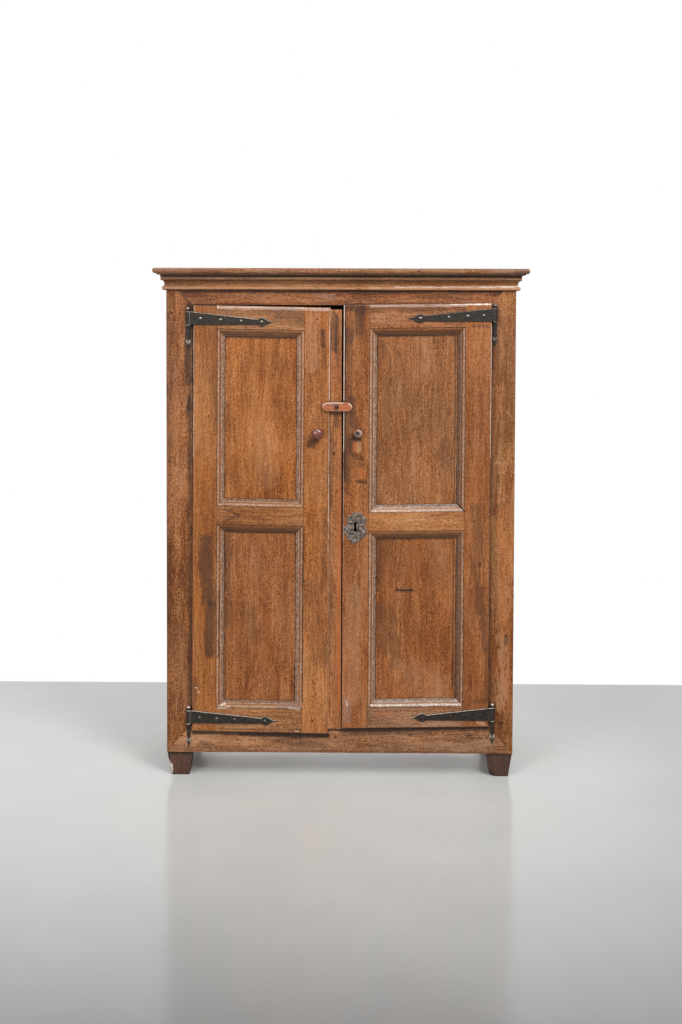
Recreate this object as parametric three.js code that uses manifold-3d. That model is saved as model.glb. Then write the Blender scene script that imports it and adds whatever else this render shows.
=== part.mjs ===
// A joined oak cupboard of two framed doors, hung on forged straps and pintles.
// Millimetres. X runs to the right, Y to the back, Z up from the floor.
import * as THREE from 'three';
import { mergeVertices } from 'three/addons/utils/BufferGeometryUtils.js';
import Module from 'manifold-3d';

const wasm = await Module();
wasm.setup();

// Clearances
const seatGap = 0.3;
const panelSlack = 0.8;
const cutOverrun = 5;
const weldTolerance = 1e-4;

// Facets of round stretches
const arrisSteps = 3;
const mouldSteps = 4;
const roundSides = 16;
const nailSides = 8;
const ballRings = 8;

// Carcass
const overallHeight = 1708;
const bodyWidth = 1164;
const bodyDepth = 440;
const footHeight = 80;
const postWidth = 88;
const postDepth = 42;
const postArris = 3;
const rearPostWidth = 70;
const topRailHeight = 95;
const bottomRailHeight = 100;
const railThickness = 34;
const mitreDepth = 16;
const frameTenonThickness = 10;
const frameTenonLength = 55;
const frameTenonInset = 20;
const bottomTenonInset = 38;

// Side frames
const sideRailThickness = 28;
const sideMidRailBottom = 835;
const sideMidRailHeight = 78;
const sideTenonLength = 26;
const sideTenonInset = 14;
const sidePanelThickness = 10;
const sidePanelFaceInset = 9;
const grooveDepth = 9;

// Back, floor and shelves
const backBoardThickness = 14;
const backRebateWidth = 10;
const backLap = 10;
const backBoardCount = 3;
const backBoardMargin = 4;
const floorBoardThickness = 20;
const floorBoardDrop = 12;
const floorGrooveDepth = 8;
const shelfThickness = 20;
const shelfHeights = { lower_shelf: 640, upper_shelf: 1115 };
const shelfHousingDepth = 10;
const shelfFrontSetback = 4;

// Top board and cornice
const topBoardThickness = 26;
const topOverhangFront = 48;
const topOverhangSide = 39;
const noseHeight = 17.5;
const noseRounding = 6;
const noseFilletHeight = 4;
const noseFilletSetback = 12;
const noseUnderSetback = 22;
const corniceHeight = 46;
const corniceProjection = 16.5;
const corniceFilletHeight = 13.4;
const corniceFilletStep = 2.5;
const corniceNeckDrop = 26;
const corniceNeckProjection = 5;
const corniceBeadHeight = 13;
const corniceBeadProjection = 12.5;
const corniceBeadRounding = 5;

// Block feet
const footTopInset = 1.5;
const footDepth = 72;
const footTaper = 12;
const footSetback = 3;
const footTenonWidth = 36;
const footTenonThickness = 14;
const footTenonSetback = 20;
const footTenonLength = 20;
const rearFootTaper = 9;

// Door leaves: framing that both share
const doorThickness = 28;
const lipClearance = 0.5;
const rebateSide = 10;
const rebateTop = 10;
const rebateBottom = 36;
const doorArris = 4;
const meetingArris = 2.5;
const doorTenonThickness = 8;
const doorTenonLength = 36;
const doorTenonInset = 10;
const panelRecess = 11;
const panelEdgeThickness = 8;
const panelFieldThickness = 12;
const panelBevelWidth = 40;
const panelGrooveDepth = 9;

// Stuck moulding round each door panel
const mouldWidth = 25;
const quirkWidth = 1.6;
const quirkDepth = 2.2;
const ovoloShelf = 0.8;
const ovoloWidth = 9;
const ovoloDrop = 4.5;
const mouldStep = 1.3;
const coveWidth = 8;
const coveDrop = 2.8;

// Where the doors meet
const meetingLineX = -35;
const meetingGap = 6;
const stripWidth = 38.5;
const stripRecess = 3;
const stripThickness = 24;
const stripTopInset = 6;
const stripBottomInset = 17;
const tongueLength = 10;
const tongueThickness = 8;
const tongueFaceInset = 10;

// Hinges
const hingeAxisProud = 8.5;
const pinRadius = 5.5;
const knuckleRadius = 7.5;
const knuckleClearance = 0.3;
const strapThickness = 3.5;
const strapRootHeight = 44;
const strapNeckHeight = 20;
const spearLength = 43;
const spearRadius = 15;
const spearTipHeight = 4;
const strapNailRadius = 4.8;
const strapNailRise = 2.6;
const collarRadius = 7.9;
const collarHeight = 5;
const ballRadius = 6.6;
const ballRise = 4;
const legWidth = 12;
const legThickness = 5.5;
const legTipWidth = 7;
const rosetteDrop = 58;
const rosetteRadius = 10.4;
const rosetteRise = 6;
const pintleTipDrop = 82;
const spikeWidth = 7;
const spikeLength = 12;
const spikeDrop = 26;

// Turn button and its nail
const buttonLength = 101;
const buttonHeight = 31.5;
const buttonThickness = 10;
const buttonEndRadius = 24;
const buttonChamfer = 2.5;
const buttonFaceGap = 0.6;
const buttonBossRadius = 11;
const buttonPivotInset = 23.5;
const buttonPivotHeight = 1249;
const nailShankRadius = 3;
const nailHeadRadius = 7;
const nailHeadRise = 2.2;
const nailGrip = 16;
const nailClearance = 0.3;

// Knobs
const knobHeight = 1161;
const knobHeadRadius = 19.5;
const knobNeckRadius = 9;
const knobNeckLength = 10;
const knobHeadLength = 22;
const knobWidestShare = 0.4;
const knobUnderQuarter = -0.7;
const knobTenonRadius = 7;
const knobTenonLength = 20;
const pegKnobRadius = 15;
const pegKnobLength = 31;
const pegKnobEndRadius = 12.5;
const pegKnobHollow = 2.5;
const pegKnobRimRadius = 6.2;
const pegKnobHollowRadius = 4.2;

// Lock and escutcheon
const lockHeight = 848;
const lockAxisInset = 40.5;
const plateWidth = 80;
const plateHeight = 110;
const plateThickness = 2.2;
const plateOffsetX = 1.2;
const plateOffsetZ = -4.5;
const plateTiltDegrees = 7.7;
const piercingRadius = 2.6;
const keyholeRadius = 5.3;
const keyholeEyeX = -0.3;
const keyholeEyeRise = 10.6;
const keyholeNeckWidth = 7;
const wedgeLeftX = -5.8;
const wedgeLeftDrop = 15.5;
const wedgeRightX = 6.4;
const wedgeRightDrop = 19;
const keyholePassageWidth = 13;
const keyholePassageHeight = 40;
const caseWidth = 96;
const caseHeight = 84;
const caseDepth = 24;
const caseWall = 3;
const caseEdgeInset = 5;
const boltHeight = 15;
const boltThickness = 8;
const boltBackset = 6;
const boltLength = 74;
const boltTravel = 18;
const boltRise = 24;
const boltGap = 0.5;

// The two leaves differ a little: each hangs at its own height and has dropped at the meeting side.
const leftDoor = {
  prefix: 'left',
  side: 1,
  hingeLap: -4,
  topLap: -1,
  bottomLap: 26,
  proud: 9,
  drop: 7,
  lean: 6,
  hingeStile: 79,
  meetingStile: 85,
  topRail: 77,
  midRailBottom: 700.5,
  midRail: 62,
  bottomRail: 81.5,
  axisFromEdge: 18,
  upperStrapInset: 21.5,
  lowerStrapInset: 27,
  upperStrapReach: 288,
  upperStrapNails: [42, 109, 177],
  lowerStrapReach: 300,
  lowerStrapNails: [37, 95, 156],
  knobFromMeeting: 42,
};
const rightDoor = {
  prefix: 'right',
  side: -1,
  hingeLap: 7,
  topLap: 8,
  bottomLap: 5,
  proud: 12,
  drop: 8,
  lean: 2.5,
  hingeStile: 86,
  meetingStile: 86,
  topRail: 78,
  midRailBottom: 664,
  midRail: 62.5,
  bottomRail: 71,
  axisFromEdge: 11,
  upperStrapInset: 17,
  lowerStrapInset: 21,
  upperStrapReach: 291,
  upperStrapNails: [39, 92, 154],
  lowerStrapReach: 277,
  lowerStrapNails: [41, 87, 140],
  knobFromMeeting: 48,
};

// Places worked out from the sizes above
const bodyHalf = bodyWidth / 2;
const openingHalf = bodyHalf - postWidth;
const topBoardBottom = overallHeight - topBoardThickness;
const carcassTop = topBoardBottom - seatGap;
const openingTop = carcassTop - topRailHeight;
const openingBottom = footHeight + bottomRailHeight;
const rearPostFront = bodyDepth - postDepth;
const rearPostInner = bodyHalf - rearPostWidth;
const sideRailInner = bodyHalf - sideRailThickness;
const sidePanelOuter = bodyHalf - sidePanelFaceInset;
const sidePanelInner = sidePanelOuter - sidePanelThickness;
const backBoardFace = bodyDepth - backBoardThickness;
const floorTop = openingBottom - floorBoardDrop;
const depthCentre = (bodyDepth - topOverhangFront) / 2;
const corniceOuter = bodyHalf + corniceProjection;
const corniceSpan = [carcassTop - corniceHeight, carcassTop];
const hingeAxisY = -hingeAxisProud;

// Materials
const oak = material(0x9a6a3f, 0.55, 0);
const darkOak = material(0x7d5233, 0.6, 0);
const footOak = material(0x4a3022, 0.7, 0);
const orangeWood = material(0xb0693a, 0.45, 0);
const knobWood = material(0x5b3322, 0.35, 0);
const iron = material(0x3a3736, 0.6, 0.8);

function material(color, roughness, metalness) {
  return new THREE.MeshStandardMaterial({ color, roughness, metalness });
}

// Solid modelling

function toSolid(geometry) {
  const bare = geometry.index ? geometry.toNonIndexed() : geometry.clone();
  bare.deleteAttribute('normal');
  bare.deleteAttribute('uv');
  const merged = mergeVertices(bare, weldTolerance);
  return new wasm.Manifold(new wasm.Mesh({
    numProp: 3,
    vertProperties: new Float32Array(merged.attributes.position.array),
    triVerts: new Uint32Array(merged.index.array),
  }));
}

function toGeometry(solid) {
  const { vertProperties, triVerts } = solid.getMesh();
  const geometry = new THREE.BufferGeometry();
  geometry.setAttribute('position', new THREE.BufferAttribute(vertProperties, 3));
  geometry.setIndex(new THREE.BufferAttribute(triVerts, 1));
  geometry.computeVertexNormals();
  return geometry;
}

function join(first, ...others) {
  return others.reduce((whole, other) => whole.add(other), first);
}

function cut(first, ...others) {
  return others.reduce((whole, other) => whole.subtract(other), first);
}

function common(first, ...others) {
  return others.reduce((whole, other) => whole.intersect(other), first);
}

// A matrix that mirrors turns the faces inside out, so they are turned back.
function moved(solid, matrix) {
  const geometry = toGeometry(solid).applyMatrix4(matrix);
  if (matrix.determinant() < 0) {
    const { array } = geometry.index;
    for (let corner = 0; corner < array.length; corner += 3) {
      [array[corner], array[corner + 1]] = [array[corner + 1], array[corner]];
    }
  }
  return toSolid(geometry);
}

function outline(points) {
  return new THREE.Shape(points.map(([x, y]) => new THREE.Vector2(x, y)));
}

function extrude(shape, depth) {
  return new THREE.ExtrudeGeometry(shape, { depth, bevelEnabled: false });
}

const axisX = new THREE.Vector3(1, 0, 0);
const axisY = new THREE.Vector3(0, 1, 0);
const axisZ = new THREE.Vector3(0, 0, 1);
const outlineToYZ = new THREE.Matrix4().makeBasis(axisY, axisZ, axisX);
const outlineToXZ = new THREE.Matrix4().makeBasis(axisX, axisZ, axisY.clone().negate());

// Points are (y, z) and the prism runs along X.
function prismX(points, [from, to]) {
  return toSolid(extrude(outline(points), to - from).applyMatrix4(outlineToYZ).translate(from, 0, 0));
}

// Points are (x, z) and the prism runs along Y.
function prismY(points, [from, to]) {
  return toSolid(extrude(outline(points), to - from).applyMatrix4(outlineToXZ).translate(0, to, 0));
}

// Points are (x, y) and the prism runs along Z.
function prismZ(points, [from, to]) {
  return toSolid(extrude(outline(points), to - from).translate(0, 0, from));
}

function block([x0, x1], [y0, y1], [z0, z1]) {
  const geometry = new THREE.BoxGeometry(Math.abs(x1 - x0), y1 - y0, z1 - z0);
  return toSolid(geometry.translate((x0 + x1) / 2, (y0 + y1) / 2, (z0 + z1) / 2));
}

// Profile points are (radius, height) and close on the axis. The axis is Z.
function turned(profile, sides = roundSides) {
  const points = profile.map(([radius, height]) => new THREE.Vector2(radius, height));
  return new THREE.LatheGeometry(points, sides).rotateX(Math.PI / 2);
}

// The same, with the axis towards the front: height grows towards -Y.
function turnedToFront(profile, sides = roundSides) {
  return turned(profile, sides).rotateX(Math.PI / 2);
}

function at(geometry, x, y, z) {
  return toSolid(geometry.translate(x, y, z));
}

// Points of an elliptic arc, both ends included. Angles in quarter turns.
function arc(centreX, centreY, radiusX, radiusY, fromQuarter, toQuarter, steps) {
  return Array.from({ length: steps + 1 }, (_, step) => {
    const angle = (fromQuarter + (toQuarter - fromQuarter) * step / steps) * Math.PI / 2;
    return [centreX + radiusX * Math.cos(angle), centreY + radiusY * Math.sin(angle)];
  });
}

function mirrorX(points, side) {
  return points.map(([x, y]) => [side * x, y]);
}

// A half outline from the middle outwards, completed with its mirror image.
function bothSides(points) {
  return [...mirrorX([...points].reverse(), -1), ...points];
}

function mesh(name, solid, finish) {
  const piece = new THREE.Mesh(toGeometry(solid), finish);
  piece.name = name;
  return piece;
}

function span(from, to) {
  return [Math.min(from, to), Math.max(from, to)];
}

// Carcass: mitred front corners

// The mitre line runs from the corner of the opening to the outer corner of the frame.
function mitreWaste(side, openingZ, outerZ) {
  const outward = Math.sign(outerZ - openingZ);
  const slope = (outerZ - openingZ) / postWidth;
  const innerX = openingHalf - cutOverrun;
  const outerX = bodyHalf + cutOverrun;
  const lineAt = x => openingZ + (x - openingHalf) * slope - outward * seatGap;
  const beyond = outerZ + outward * cutOverrun * Math.abs(slope) + outward * cutOverrun;
  const points = [[innerX, lineAt(innerX)], [outerX, lineAt(outerX)], [outerX, beyond], [innerX, beyond]];
  return prismY(mirrorX(points, side), [-cutOverrun, mitreDepth + seatGap]);
}

const frameTenonDepths = [mitreDepth, mitreDepth + frameTenonThickness];
const topTenonSpan = [openingTop + frameTenonInset, carcassTop - frameTenonInset];
const bottomTenonSpan = [footHeight + bottomTenonInset, openingBottom - frameTenonInset];

function widened([from, to], by = seatGap) {
  return [from - by, to + by];
}

function frontRail(openingZ, outerZ, tenonSpan) {
  const face = bothSides([[openingHalf, openingZ], [bodyHalf, outerZ]]);
  const shoulder = openingHalf - seatGap;
  const tenonEnd = openingHalf + frameTenonLength - seatGap;
  return join(
    prismY(face, [0, mitreDepth]),
    block([-shoulder, shoulder], [0, railThickness], span(openingZ, outerZ)),
    block([-tenonEnd, tenonEnd], frameTenonDepths, tenonSpan),
  );
}

function frameMortise(side, tenonSpan) {
  const ends = span(side * (openingHalf - cutOverrun), side * (openingHalf + frameTenonLength));
  return block(ends, widened(frameTenonDepths), widened(tenonSpan));
}

// Pintles sit at the same heights as the straps that they carry.

function doorPlaces(door) {
  const hingeEdgeX = -door.side * (openingHalf + door.hingeLap);
  const rightMeetingX = meetingLineX + seatGap + stripWidth + meetingGap;
  const meetingX = door.side > 0 ? meetingLineX : rightMeetingX;
  const bottom = openingBottom - door.bottomLap;
  const height = openingTop + door.topLap - bottom;
  return {
    hingeEdgeX,
    meetingX,
    bottom,
    height,
    width: Math.abs(meetingX - hingeEdgeX),
    axis: hingeEdgeX - door.side * door.axisFromEdge,
    lowerStrap: bottom + door.lowerStrapInset,
    upperStrap: bottom + height - door.upperStrapInset - strapRootHeight,
  };
}

const pintles = [leftDoor, rightDoor].flatMap(door => {
  const places = doorPlaces(door);
  return [
    { name: `${door.prefix}_upper_pintle`, x: places.axis, z: places.upperStrap },
    { name: `${door.prefix}_lower_pintle`, x: places.axis, z: places.lowerStrap },
  ];
});

const spikeHoles = pintles.map(({ x, z }) => {
  const half = spikeWidth / 2 + seatGap;
  const centre = z - spikeDrop;
  return block([x - half, x + half], [-cutOverrun, spikeLength + seatGap], [centre - half, centre + half]);
});

// Carcass: grooves and housings in the posts

function sidePanelGroove(side, [y0, y1]) {
  const across = span(side * (sidePanelInner - seatGap), side * (sidePanelOuter + seatGap));
  return block(across, [y0, y1], [openingBottom - grooveDepth, openingTop + grooveDepth]);
}

const sideRailSpans = {
  top: [openingTop, carcassTop],
  mid: [sideMidRailBottom, sideMidRailBottom + sideMidRailHeight],
  bottom: [footHeight, openingBottom],
};

function sideTenonSpan([from, to]) {
  return [from + sideTenonInset, to - sideTenonInset];
}

function sideMortises(side, [y0, y1]) {
  const across = span(side * (sidePanelInner - seatGap), side * (sidePanelOuter + seatGap));
  return Object.values(sideRailSpans).map(zSpan => block(across, [y0, y1], widened(sideTenonSpan(zSpan))));
}

function shelfHousings(side, innerX, [y0, y1]) {
  const across = span(side * (innerX - cutOverrun), side * sideRailInner);
  return Object.values(shelfHeights).map(top => block(across, [y0, y1], widened([top - shelfThickness, top])));
}

const footCentreX = (openingHalf + bodyHalf) / 2;
const footTenonY = [footTenonSetback, footTenonSetback + footTenonThickness];

function frontPost(side) {
  const section = [
    [openingHalf, 0],
    ...arc(bodyHalf - postArris, postArris, postArris, postArris, -1, 0, arrisSteps),
    [bodyHalf, postDepth],
    [openingHalf, postDepth],
  ];
  const footTenonX = [footCentreX - footTenonWidth / 2, footCentreX + footTenonWidth / 2].map(x => side * x);
  return cut(
    prismZ(mirrorX(section, side), [footHeight, carcassTop]),
    mitreWaste(side, openingTop, carcassTop),
    mitreWaste(side, openingBottom, footHeight),
    frameMortise(side, topTenonSpan),
    frameMortise(side, bottomTenonSpan),
    sidePanelGroove(side, [postDepth - grooveDepth, postDepth + cutOverrun]),
    ...sideMortises(side, [postDepth - sideTenonLength, postDepth + cutOverrun]),
    ...shelfHousings(side, openingHalf, [postDepth - shelfHousingDepth, postDepth + cutOverrun]),
    ...spikeHoles,
    block(widened(span(...footTenonX)), widened(footTenonY),
      [footHeight - cutOverrun, footHeight + footTenonLength + seatGap]),
  );
}

function rearPost(side) {
  const front = [
    [rearPostInner, footHeight],
    [rearPostInner + rearFootTaper, 0],
    [bodyHalf - rearFootTaper, 0],
    [bodyHalf, footHeight],
    [bodyHalf, carcassTop],
    [rearPostInner, carcassTop],
  ];
  const rebate = span(side * (rearPostInner - cutOverrun), side * (rearPostInner + backRebateWidth));
  const tenons = [openingTop, footHeight].map((from, index) => {
    const to = index === 0 ? carcassTop : openingBottom;
    const ends = span(side * (rearPostInner - cutOverrun), side * (rearPostInner + rearTenonLength));
    return block(ends, widened(rearTenonDepths), widened(sideTenonSpan([from, to])));
  });
  return cut(
    prismY(mirrorX(front, side), [rearPostFront, bodyDepth]),
    block(rebate, [backBoardFace - seatGap, bodyDepth + cutOverrun], [footHeight, carcassTop + cutOverrun]),
    ...tenons,
    sidePanelGroove(side, [rearPostFront - cutOverrun, rearPostFront + grooveDepth]),
    ...sideMortises(side, [rearPostFront - cutOverrun, rearPostFront + sideTenonLength]),
    ...shelfHousings(side, rearPostInner, [rearPostFront - cutOverrun, rearPostFront + shelfHousingDepth]),
  );
}

const rearTenonLength = 40;
const rearTenonDepths = [rearPostFront + frameTenonThickness, rearPostFront + frameTenonThickness * 2];
const rearRailSpans = { rear_top_rail: [openingTop, carcassTop], rear_bottom_rail: [footHeight, openingBottom] };

// The floor board lies in one groove that runs round inside the bottom rails.
const floorSpan = [floorTop - floorBoardThickness, floorTop];
const floorGroove = block(
  [-sideRailInner - floorGrooveDepth, sideRailInner + floorGrooveDepth],
  [railThickness - floorGrooveDepth, rearPostFront + floorGrooveDepth],
  widened(floorSpan),
);

function rearRail(zSpan) {
  const shoulder = rearPostInner - seatGap;
  const tenonEnd = rearPostInner + rearTenonLength - seatGap;
  return cut(
    join(
      block([-shoulder, shoulder], [rearPostFront, backBoardFace - seatGap], zSpan),
      block([-tenonEnd, tenonEnd], rearTenonDepths, sideTenonSpan(zSpan)),
    ),
    floorGroove,
  );
}

// Carcass: side frames

function sideRail(side, zSpan) {
  const [bottom, top] = zSpan;
  const along = [postDepth + seatGap, rearPostFront - seatGap];
  const tenonX = span(side * sidePanelInner, side * sidePanelOuter);
  const grooveX = widened(tenonX);
  const grooves = [];
  if (top < carcassTop) {
    grooves.push(block(grooveX, widened(along, cutOverrun), [top - grooveDepth, top + cutOverrun]));
  }
  if (bottom > footHeight) {
    grooves.push(block(grooveX, widened(along, cutOverrun), [bottom - cutOverrun, bottom + grooveDepth]));
  }
  const rail = cut(block(span(side * sideRailInner, side * bodyHalf), along, zSpan), floorGroove, ...grooves);
  const tenonEnds = [
    postDepth - sideTenonLength + seatGap,
    rearPostFront + sideTenonLength - seatGap,
  ];
  const core = block(tenonX, [along[0], along[1]], sideTenonSpan(zSpan));
  return join(rail, core, block(tenonX, tenonEnds, sideTenonSpan(zSpan)));
}

function sidePanel(side, [bottom, top]) {
  const hold = grooveDepth - panelSlack;
  return block(
    span(side * sidePanelInner, side * sidePanelOuter),
    [postDepth - hold, rearPostFront + hold],
    [bottom - hold, top + hold],
  );
}

// Carcass: floor, shelves and back

function floorBoard() {
  const frontHold = railThickness - floorGrooveDepth + seatGap;
  const rearHold = rearPostFront + floorGrooveDepth - seatGap;
  const sideHold = sideRailInner + floorGrooveDepth - seatGap;
  const half = [
    [openingHalf - seatGap, frontHold],
    [openingHalf - seatGap, postDepth + seatGap],
    [sideHold, postDepth + seatGap],
    [sideHold, rearPostFront - seatGap],
    [rearPostInner - seatGap, rearPostFront - seatGap],
    [rearPostInner - seatGap, rearHold],
  ];
  return prismZ(bothSides(half), floorSpan);
}

function shelf(top) {
  const end = sideRailInner - seatGap;
  const half = [
    [openingHalf - seatGap, postDepth + shelfFrontSetback],
    [openingHalf - seatGap + shelfFrontSetback, postDepth + shelfFrontSetback],
    [openingHalf - seatGap + shelfFrontSetback, postDepth - shelfHousingDepth + seatGap],
    [end, postDepth - shelfHousingDepth + seatGap],
    [end, rearPostFront + shelfHousingDepth - seatGap],
    [rearPostInner + shelfFrontSetback, rearPostFront + shelfHousingDepth - seatGap],
    [rearPostInner + shelfFrontSetback, rearPostFront - shelfFrontSetback],
    [rearPostInner - seatGap, rearPostFront - shelfFrontSetback],
    [rearPostInner - seatGap, backBoardFace - seatGap],
  ];
  return prismZ(bothSides(half), [top - shelfThickness, top]);
}

// Each board laps behind its neighbour on the right and in front of the one on the left.
function backBoard(index) {
  const half = rearPostInner + backRebateWidth - seatGap;
  const pitch = (2 * half - (backBoardCount - 1) * seatGap) / backBoardCount;
  const left = -half + index * (pitch + seatGap);
  const right = left + pitch;
  const face = backBoardFace;
  const middle = face + backBoardThickness / 2;
  const section = [[left, bodyDepth]];
  if (index > 0) {
    section.push([left, middle + seatGap / 2], [left - backLap, middle + seatGap / 2], [left - backLap, face]);
  } else {
    section.push([left, face]);
  }
  if (index < backBoardCount - 1) {
    const step = right - backLap;
    section.push([step, face], [step, middle + seatGap], [right, middle + seatGap], [right, bodyDepth]);
  } else {
    section.push([right, face], [right, bodyDepth]);
  }
  return section;
}

// Carcass: top board and cornice

// Points run up from the underside: sunk underside, fillet, blunt rounded edge.
function noseProfile(edge, inward) {
  const noseBottom = overallHeight - noseHeight;
  const filletBottom = noseBottom - noseFilletHeight;
  const half = noseHeight / 2;
  const inset = distance => edge + inward * distance;
  return [
    [inset(noseUnderSetback), topBoardBottom],
    [inset(noseUnderSetback), filletBottom],
    [inset(noseFilletSetback), filletBottom],
    [inset(noseFilletSetback), noseBottom],
    ...arc(inset(noseRounding), overallHeight - half, -inward * noseRounding, half, -1, 1, mouldSteps * 2),
  ];
}

function topBoard() {
  const halfWidth = bodyHalf + topOverhangSide;
  const alongX = prismX(
    [...noseProfile(-topOverhangFront, 1), [bodyDepth, overallHeight], [bodyDepth, topBoardBottom]],
    [-halfWidth, halfWidth],
  );
  const acrossX = prismY(
    [...noseProfile(-halfWidth, 1), ...noseProfile(halfWidth, -1).reverse()],
    [-topOverhangFront, bodyDepth],
  );
  return common(alongX, acrossX);
}

// Points are (projection, height) from the top down: fillet, cove, neck and a bead that flares from it.
function corniceProfile() {
  const [bottom, top] = corniceSpan;
  const filletBottom = top - corniceFilletHeight;
  const neck = top - corniceNeckDrop;
  const beadTop = bottom + corniceBeadHeight;
  const beadHalf = corniceBeadHeight / 2;
  const coveX = corniceProjection - corniceFilletStep;
  const beadX = corniceBeadProjection - corniceBeadRounding;
  return [
    [seatGap, top],
    [corniceProjection, top],
    [corniceProjection, filletBottom],
    ...arc(coveX, neck, coveX - corniceNeckProjection, filletBottom - neck, 1, 2, mouldSteps),
    ...arc(beadX, neck, beadX - corniceNeckProjection, neck - beadTop, 2, 3, mouldSteps).slice(1),
    ...arc(beadX, bottom + beadHalf, corniceBeadRounding, beadHalf, 1, -1, mouldSteps * 2).slice(1),
    [seatGap, bottom],
  ];
}

function corniceFront() {
  const profile = corniceProfile().map(([out, z]) => [-out, z]);
  const inner = bodyHalf + seatGap;
  const plan = bothSides([[inner, -seatGap], [corniceOuter, -corniceProjection]]);
  return common(prismX(profile, [-corniceOuter, corniceOuter]), prismZ(plan, corniceSpan));
}

function corniceReturn(side) {
  const profile = corniceProfile().map(([out, z]) => [side * (bodyHalf + out), z]);
  const inner = bodyHalf + seatGap;
  const plan = [
    [inner, 0],
    [corniceOuter, -corniceProjection + seatGap],
    [corniceOuter, bodyDepth],
    [inner, bodyDepth],
  ];
  return common(prismY(profile, [-corniceProjection, bodyDepth]), prismZ(mirrorX(plan, side), corniceSpan));
}

// Block foot: tapered on three sides, with a stub tenon into the post.
function foot(side) {
  const outer = bodyHalf - footTopInset;
  const inner = openingHalf + footTopInset;
  const top = footHeight - seatGap;
  const front = [[inner, top], [outer, top], [outer - footTaper, 0], [inner + footTaper, 0]];
  const profile = [
    [footSetback, top],
    [footSetback + footDepth, top],
    [footSetback + footDepth - footTaper, 0],
    [footSetback + footTaper / 2, 0],
  ];
  const tenonX = [footCentreX - footTenonWidth / 2, footCentreX + footTenonWidth / 2].map(x => side * x);
  const body = common(
    prismY(mirrorX(front, side), [footSetback, footSetback + footDepth]),
    prismX(profile, span(side * inner, side * outer)),
  );
  return join(body, block(span(...tenonX), footTenonY, [top - cutOverrun, footHeight + footTenonLength]));
}

// Door leaves. Leaf sizes run from the hinge edge (x), the front face (y) and the bottom edge (z).

function leafBlank(door, { width, height }) {
  const lip = door.proud - lipClearance;
  const plan = [
    ...arc(doorArris, doorArris, doorArris, doorArris, -2, -1, arrisSteps),
    ...arc(width - meetingArris, meetingArris, meetingArris, meetingArris, -1, 0, arrisSteps),
    [width, doorThickness],
    [rebateSide, doorThickness],
    [rebateSide, lip],
    [0, lip],
  ];
  const upright = [
    [lip, 0],
    [lip, rebateBottom],
    [doorThickness, rebateBottom],
    [doorThickness, height - rebateTop],
    [lip, height - rebateTop],
    [lip, height],
    ...arc(doorArris, height - doorArris, doorArris, doorArris, 1, 2, arrisSteps),
    ...arc(doorArris, doorArris, doorArris, doorArris, 2, 3, arrisSteps),
  ];
  return common(prismZ(plan, [0, height]), prismX(upright, [0, width]));
}

// Points are (distance from the moulding's outer line, depth below the face).
function mouldingFace() {
  const ovoloFoot = ovoloShelf + ovoloDrop;
  const ovoloEnd = quirkWidth + ovoloWidth;
  const coveTop = ovoloFoot + mouldStep;
  const coveEnd = ovoloEnd + coveWidth;
  return [
    [0, 0],
    [0, quirkDepth],
    [quirkWidth, quirkDepth],
    ...arc(quirkWidth, ovoloFoot, ovoloWidth, ovoloDrop, -1, 0, mouldSteps),
    ...arc(coveEnd, coveTop, coveWidth, coveDrop, 2, 1, mouldSteps),
    [mouldWidth, coveTop + coveDrop],
  ];
}

// Section of a framing member from its outer edge to the grooved inner edge.
function memberSection(flat) {
  const inner = flat + mouldWidth;
  const grooveFrom = panelRecess - seatGap;
  const grooveTo = panelRecess + panelEdgeThickness + seatGap;
  return [
    ...mouldingFace().map(([across, depth]) => [flat + across, depth]),
    [inner, grooveFrom],
    [inner - panelGrooveDepth, grooveFrom],
    [inner - panelGrooveDepth, grooveTo],
    [inner, grooveTo],
    [inner, doorThickness],
  ];
}

function apertures(door, { width, height }) {
  const left = door.hingeStile;
  const right = width - door.meetingStile;
  return {
    upper: { left, right, bottom: door.midRailBottom + door.midRail, top: height - door.topRail },
    lower: { left, right, bottom: door.bottomRail, top: door.midRailBottom },
  };
}

const wholeDepth = [-cutOverrun, doorThickness + cutOverrun];

function stile(door, leaf, blank, atHinge) {
  const flat = atHinge ? door.hingeStile : door.meetingStile;
  const fromEdge = atHinge ? across => across : across => leaf.width - across;
  const inner = flat + mouldWidth;
  const { upper, lower } = apertures(door, leaf);
  const face = [[0, 0], [flat, 0]];
  for (const aperture of [lower, upper]) {
    face.push(
      [flat, aperture.bottom],
      [inner, aperture.bottom + mouldWidth],
      [inner, aperture.top - mouldWidth],
      [flat, aperture.top],
    );
  }
  face.push([flat, leaf.height], [0, leaf.height]);
  const section = [[0, 0], ...memberSection(flat), [0, doorThickness]];
  const mortises = railSpans(door, leaf).map(({ tenon }) => block(
    span(fromEdge(flat - doorTenonLength), fromEdge(flat + cutOverrun)),
    widened(doorTenonDepths),
    widened(tenon),
  ));
  return cut(
    common(
      blank,
      prismY(face.map(([x, z]) => [fromEdge(x), z]), wholeDepth),
      prismZ(section.map(([x, y]) => [fromEdge(x), y]), [0, leaf.height]),
    ),
    ...mortises,
  );
}

const doorTenonDepths = [panelRecess, panelRecess + doorTenonThickness];

function railSpans(door, { height }) {
  const { upper, lower } = apertures(door, { width: 0, height });
  return [
    { name: 'bottom_rail', from: 0, to: lower.bottom, tenon: [rebateBottom + doorTenonInset, lower.bottom] },
    { name: 'mid_rail', from: lower.top, to: upper.bottom, tenon: [lower.top, upper.bottom] },
    { name: 'top_rail', from: upper.top, to: height, tenon: [upper.top, height - rebateTop] },
  ].map(rail => ({ ...rail, tenon: [rail.tenon[0] + doorTenonInset, rail.tenon[1] - doorTenonInset] }));
}

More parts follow.
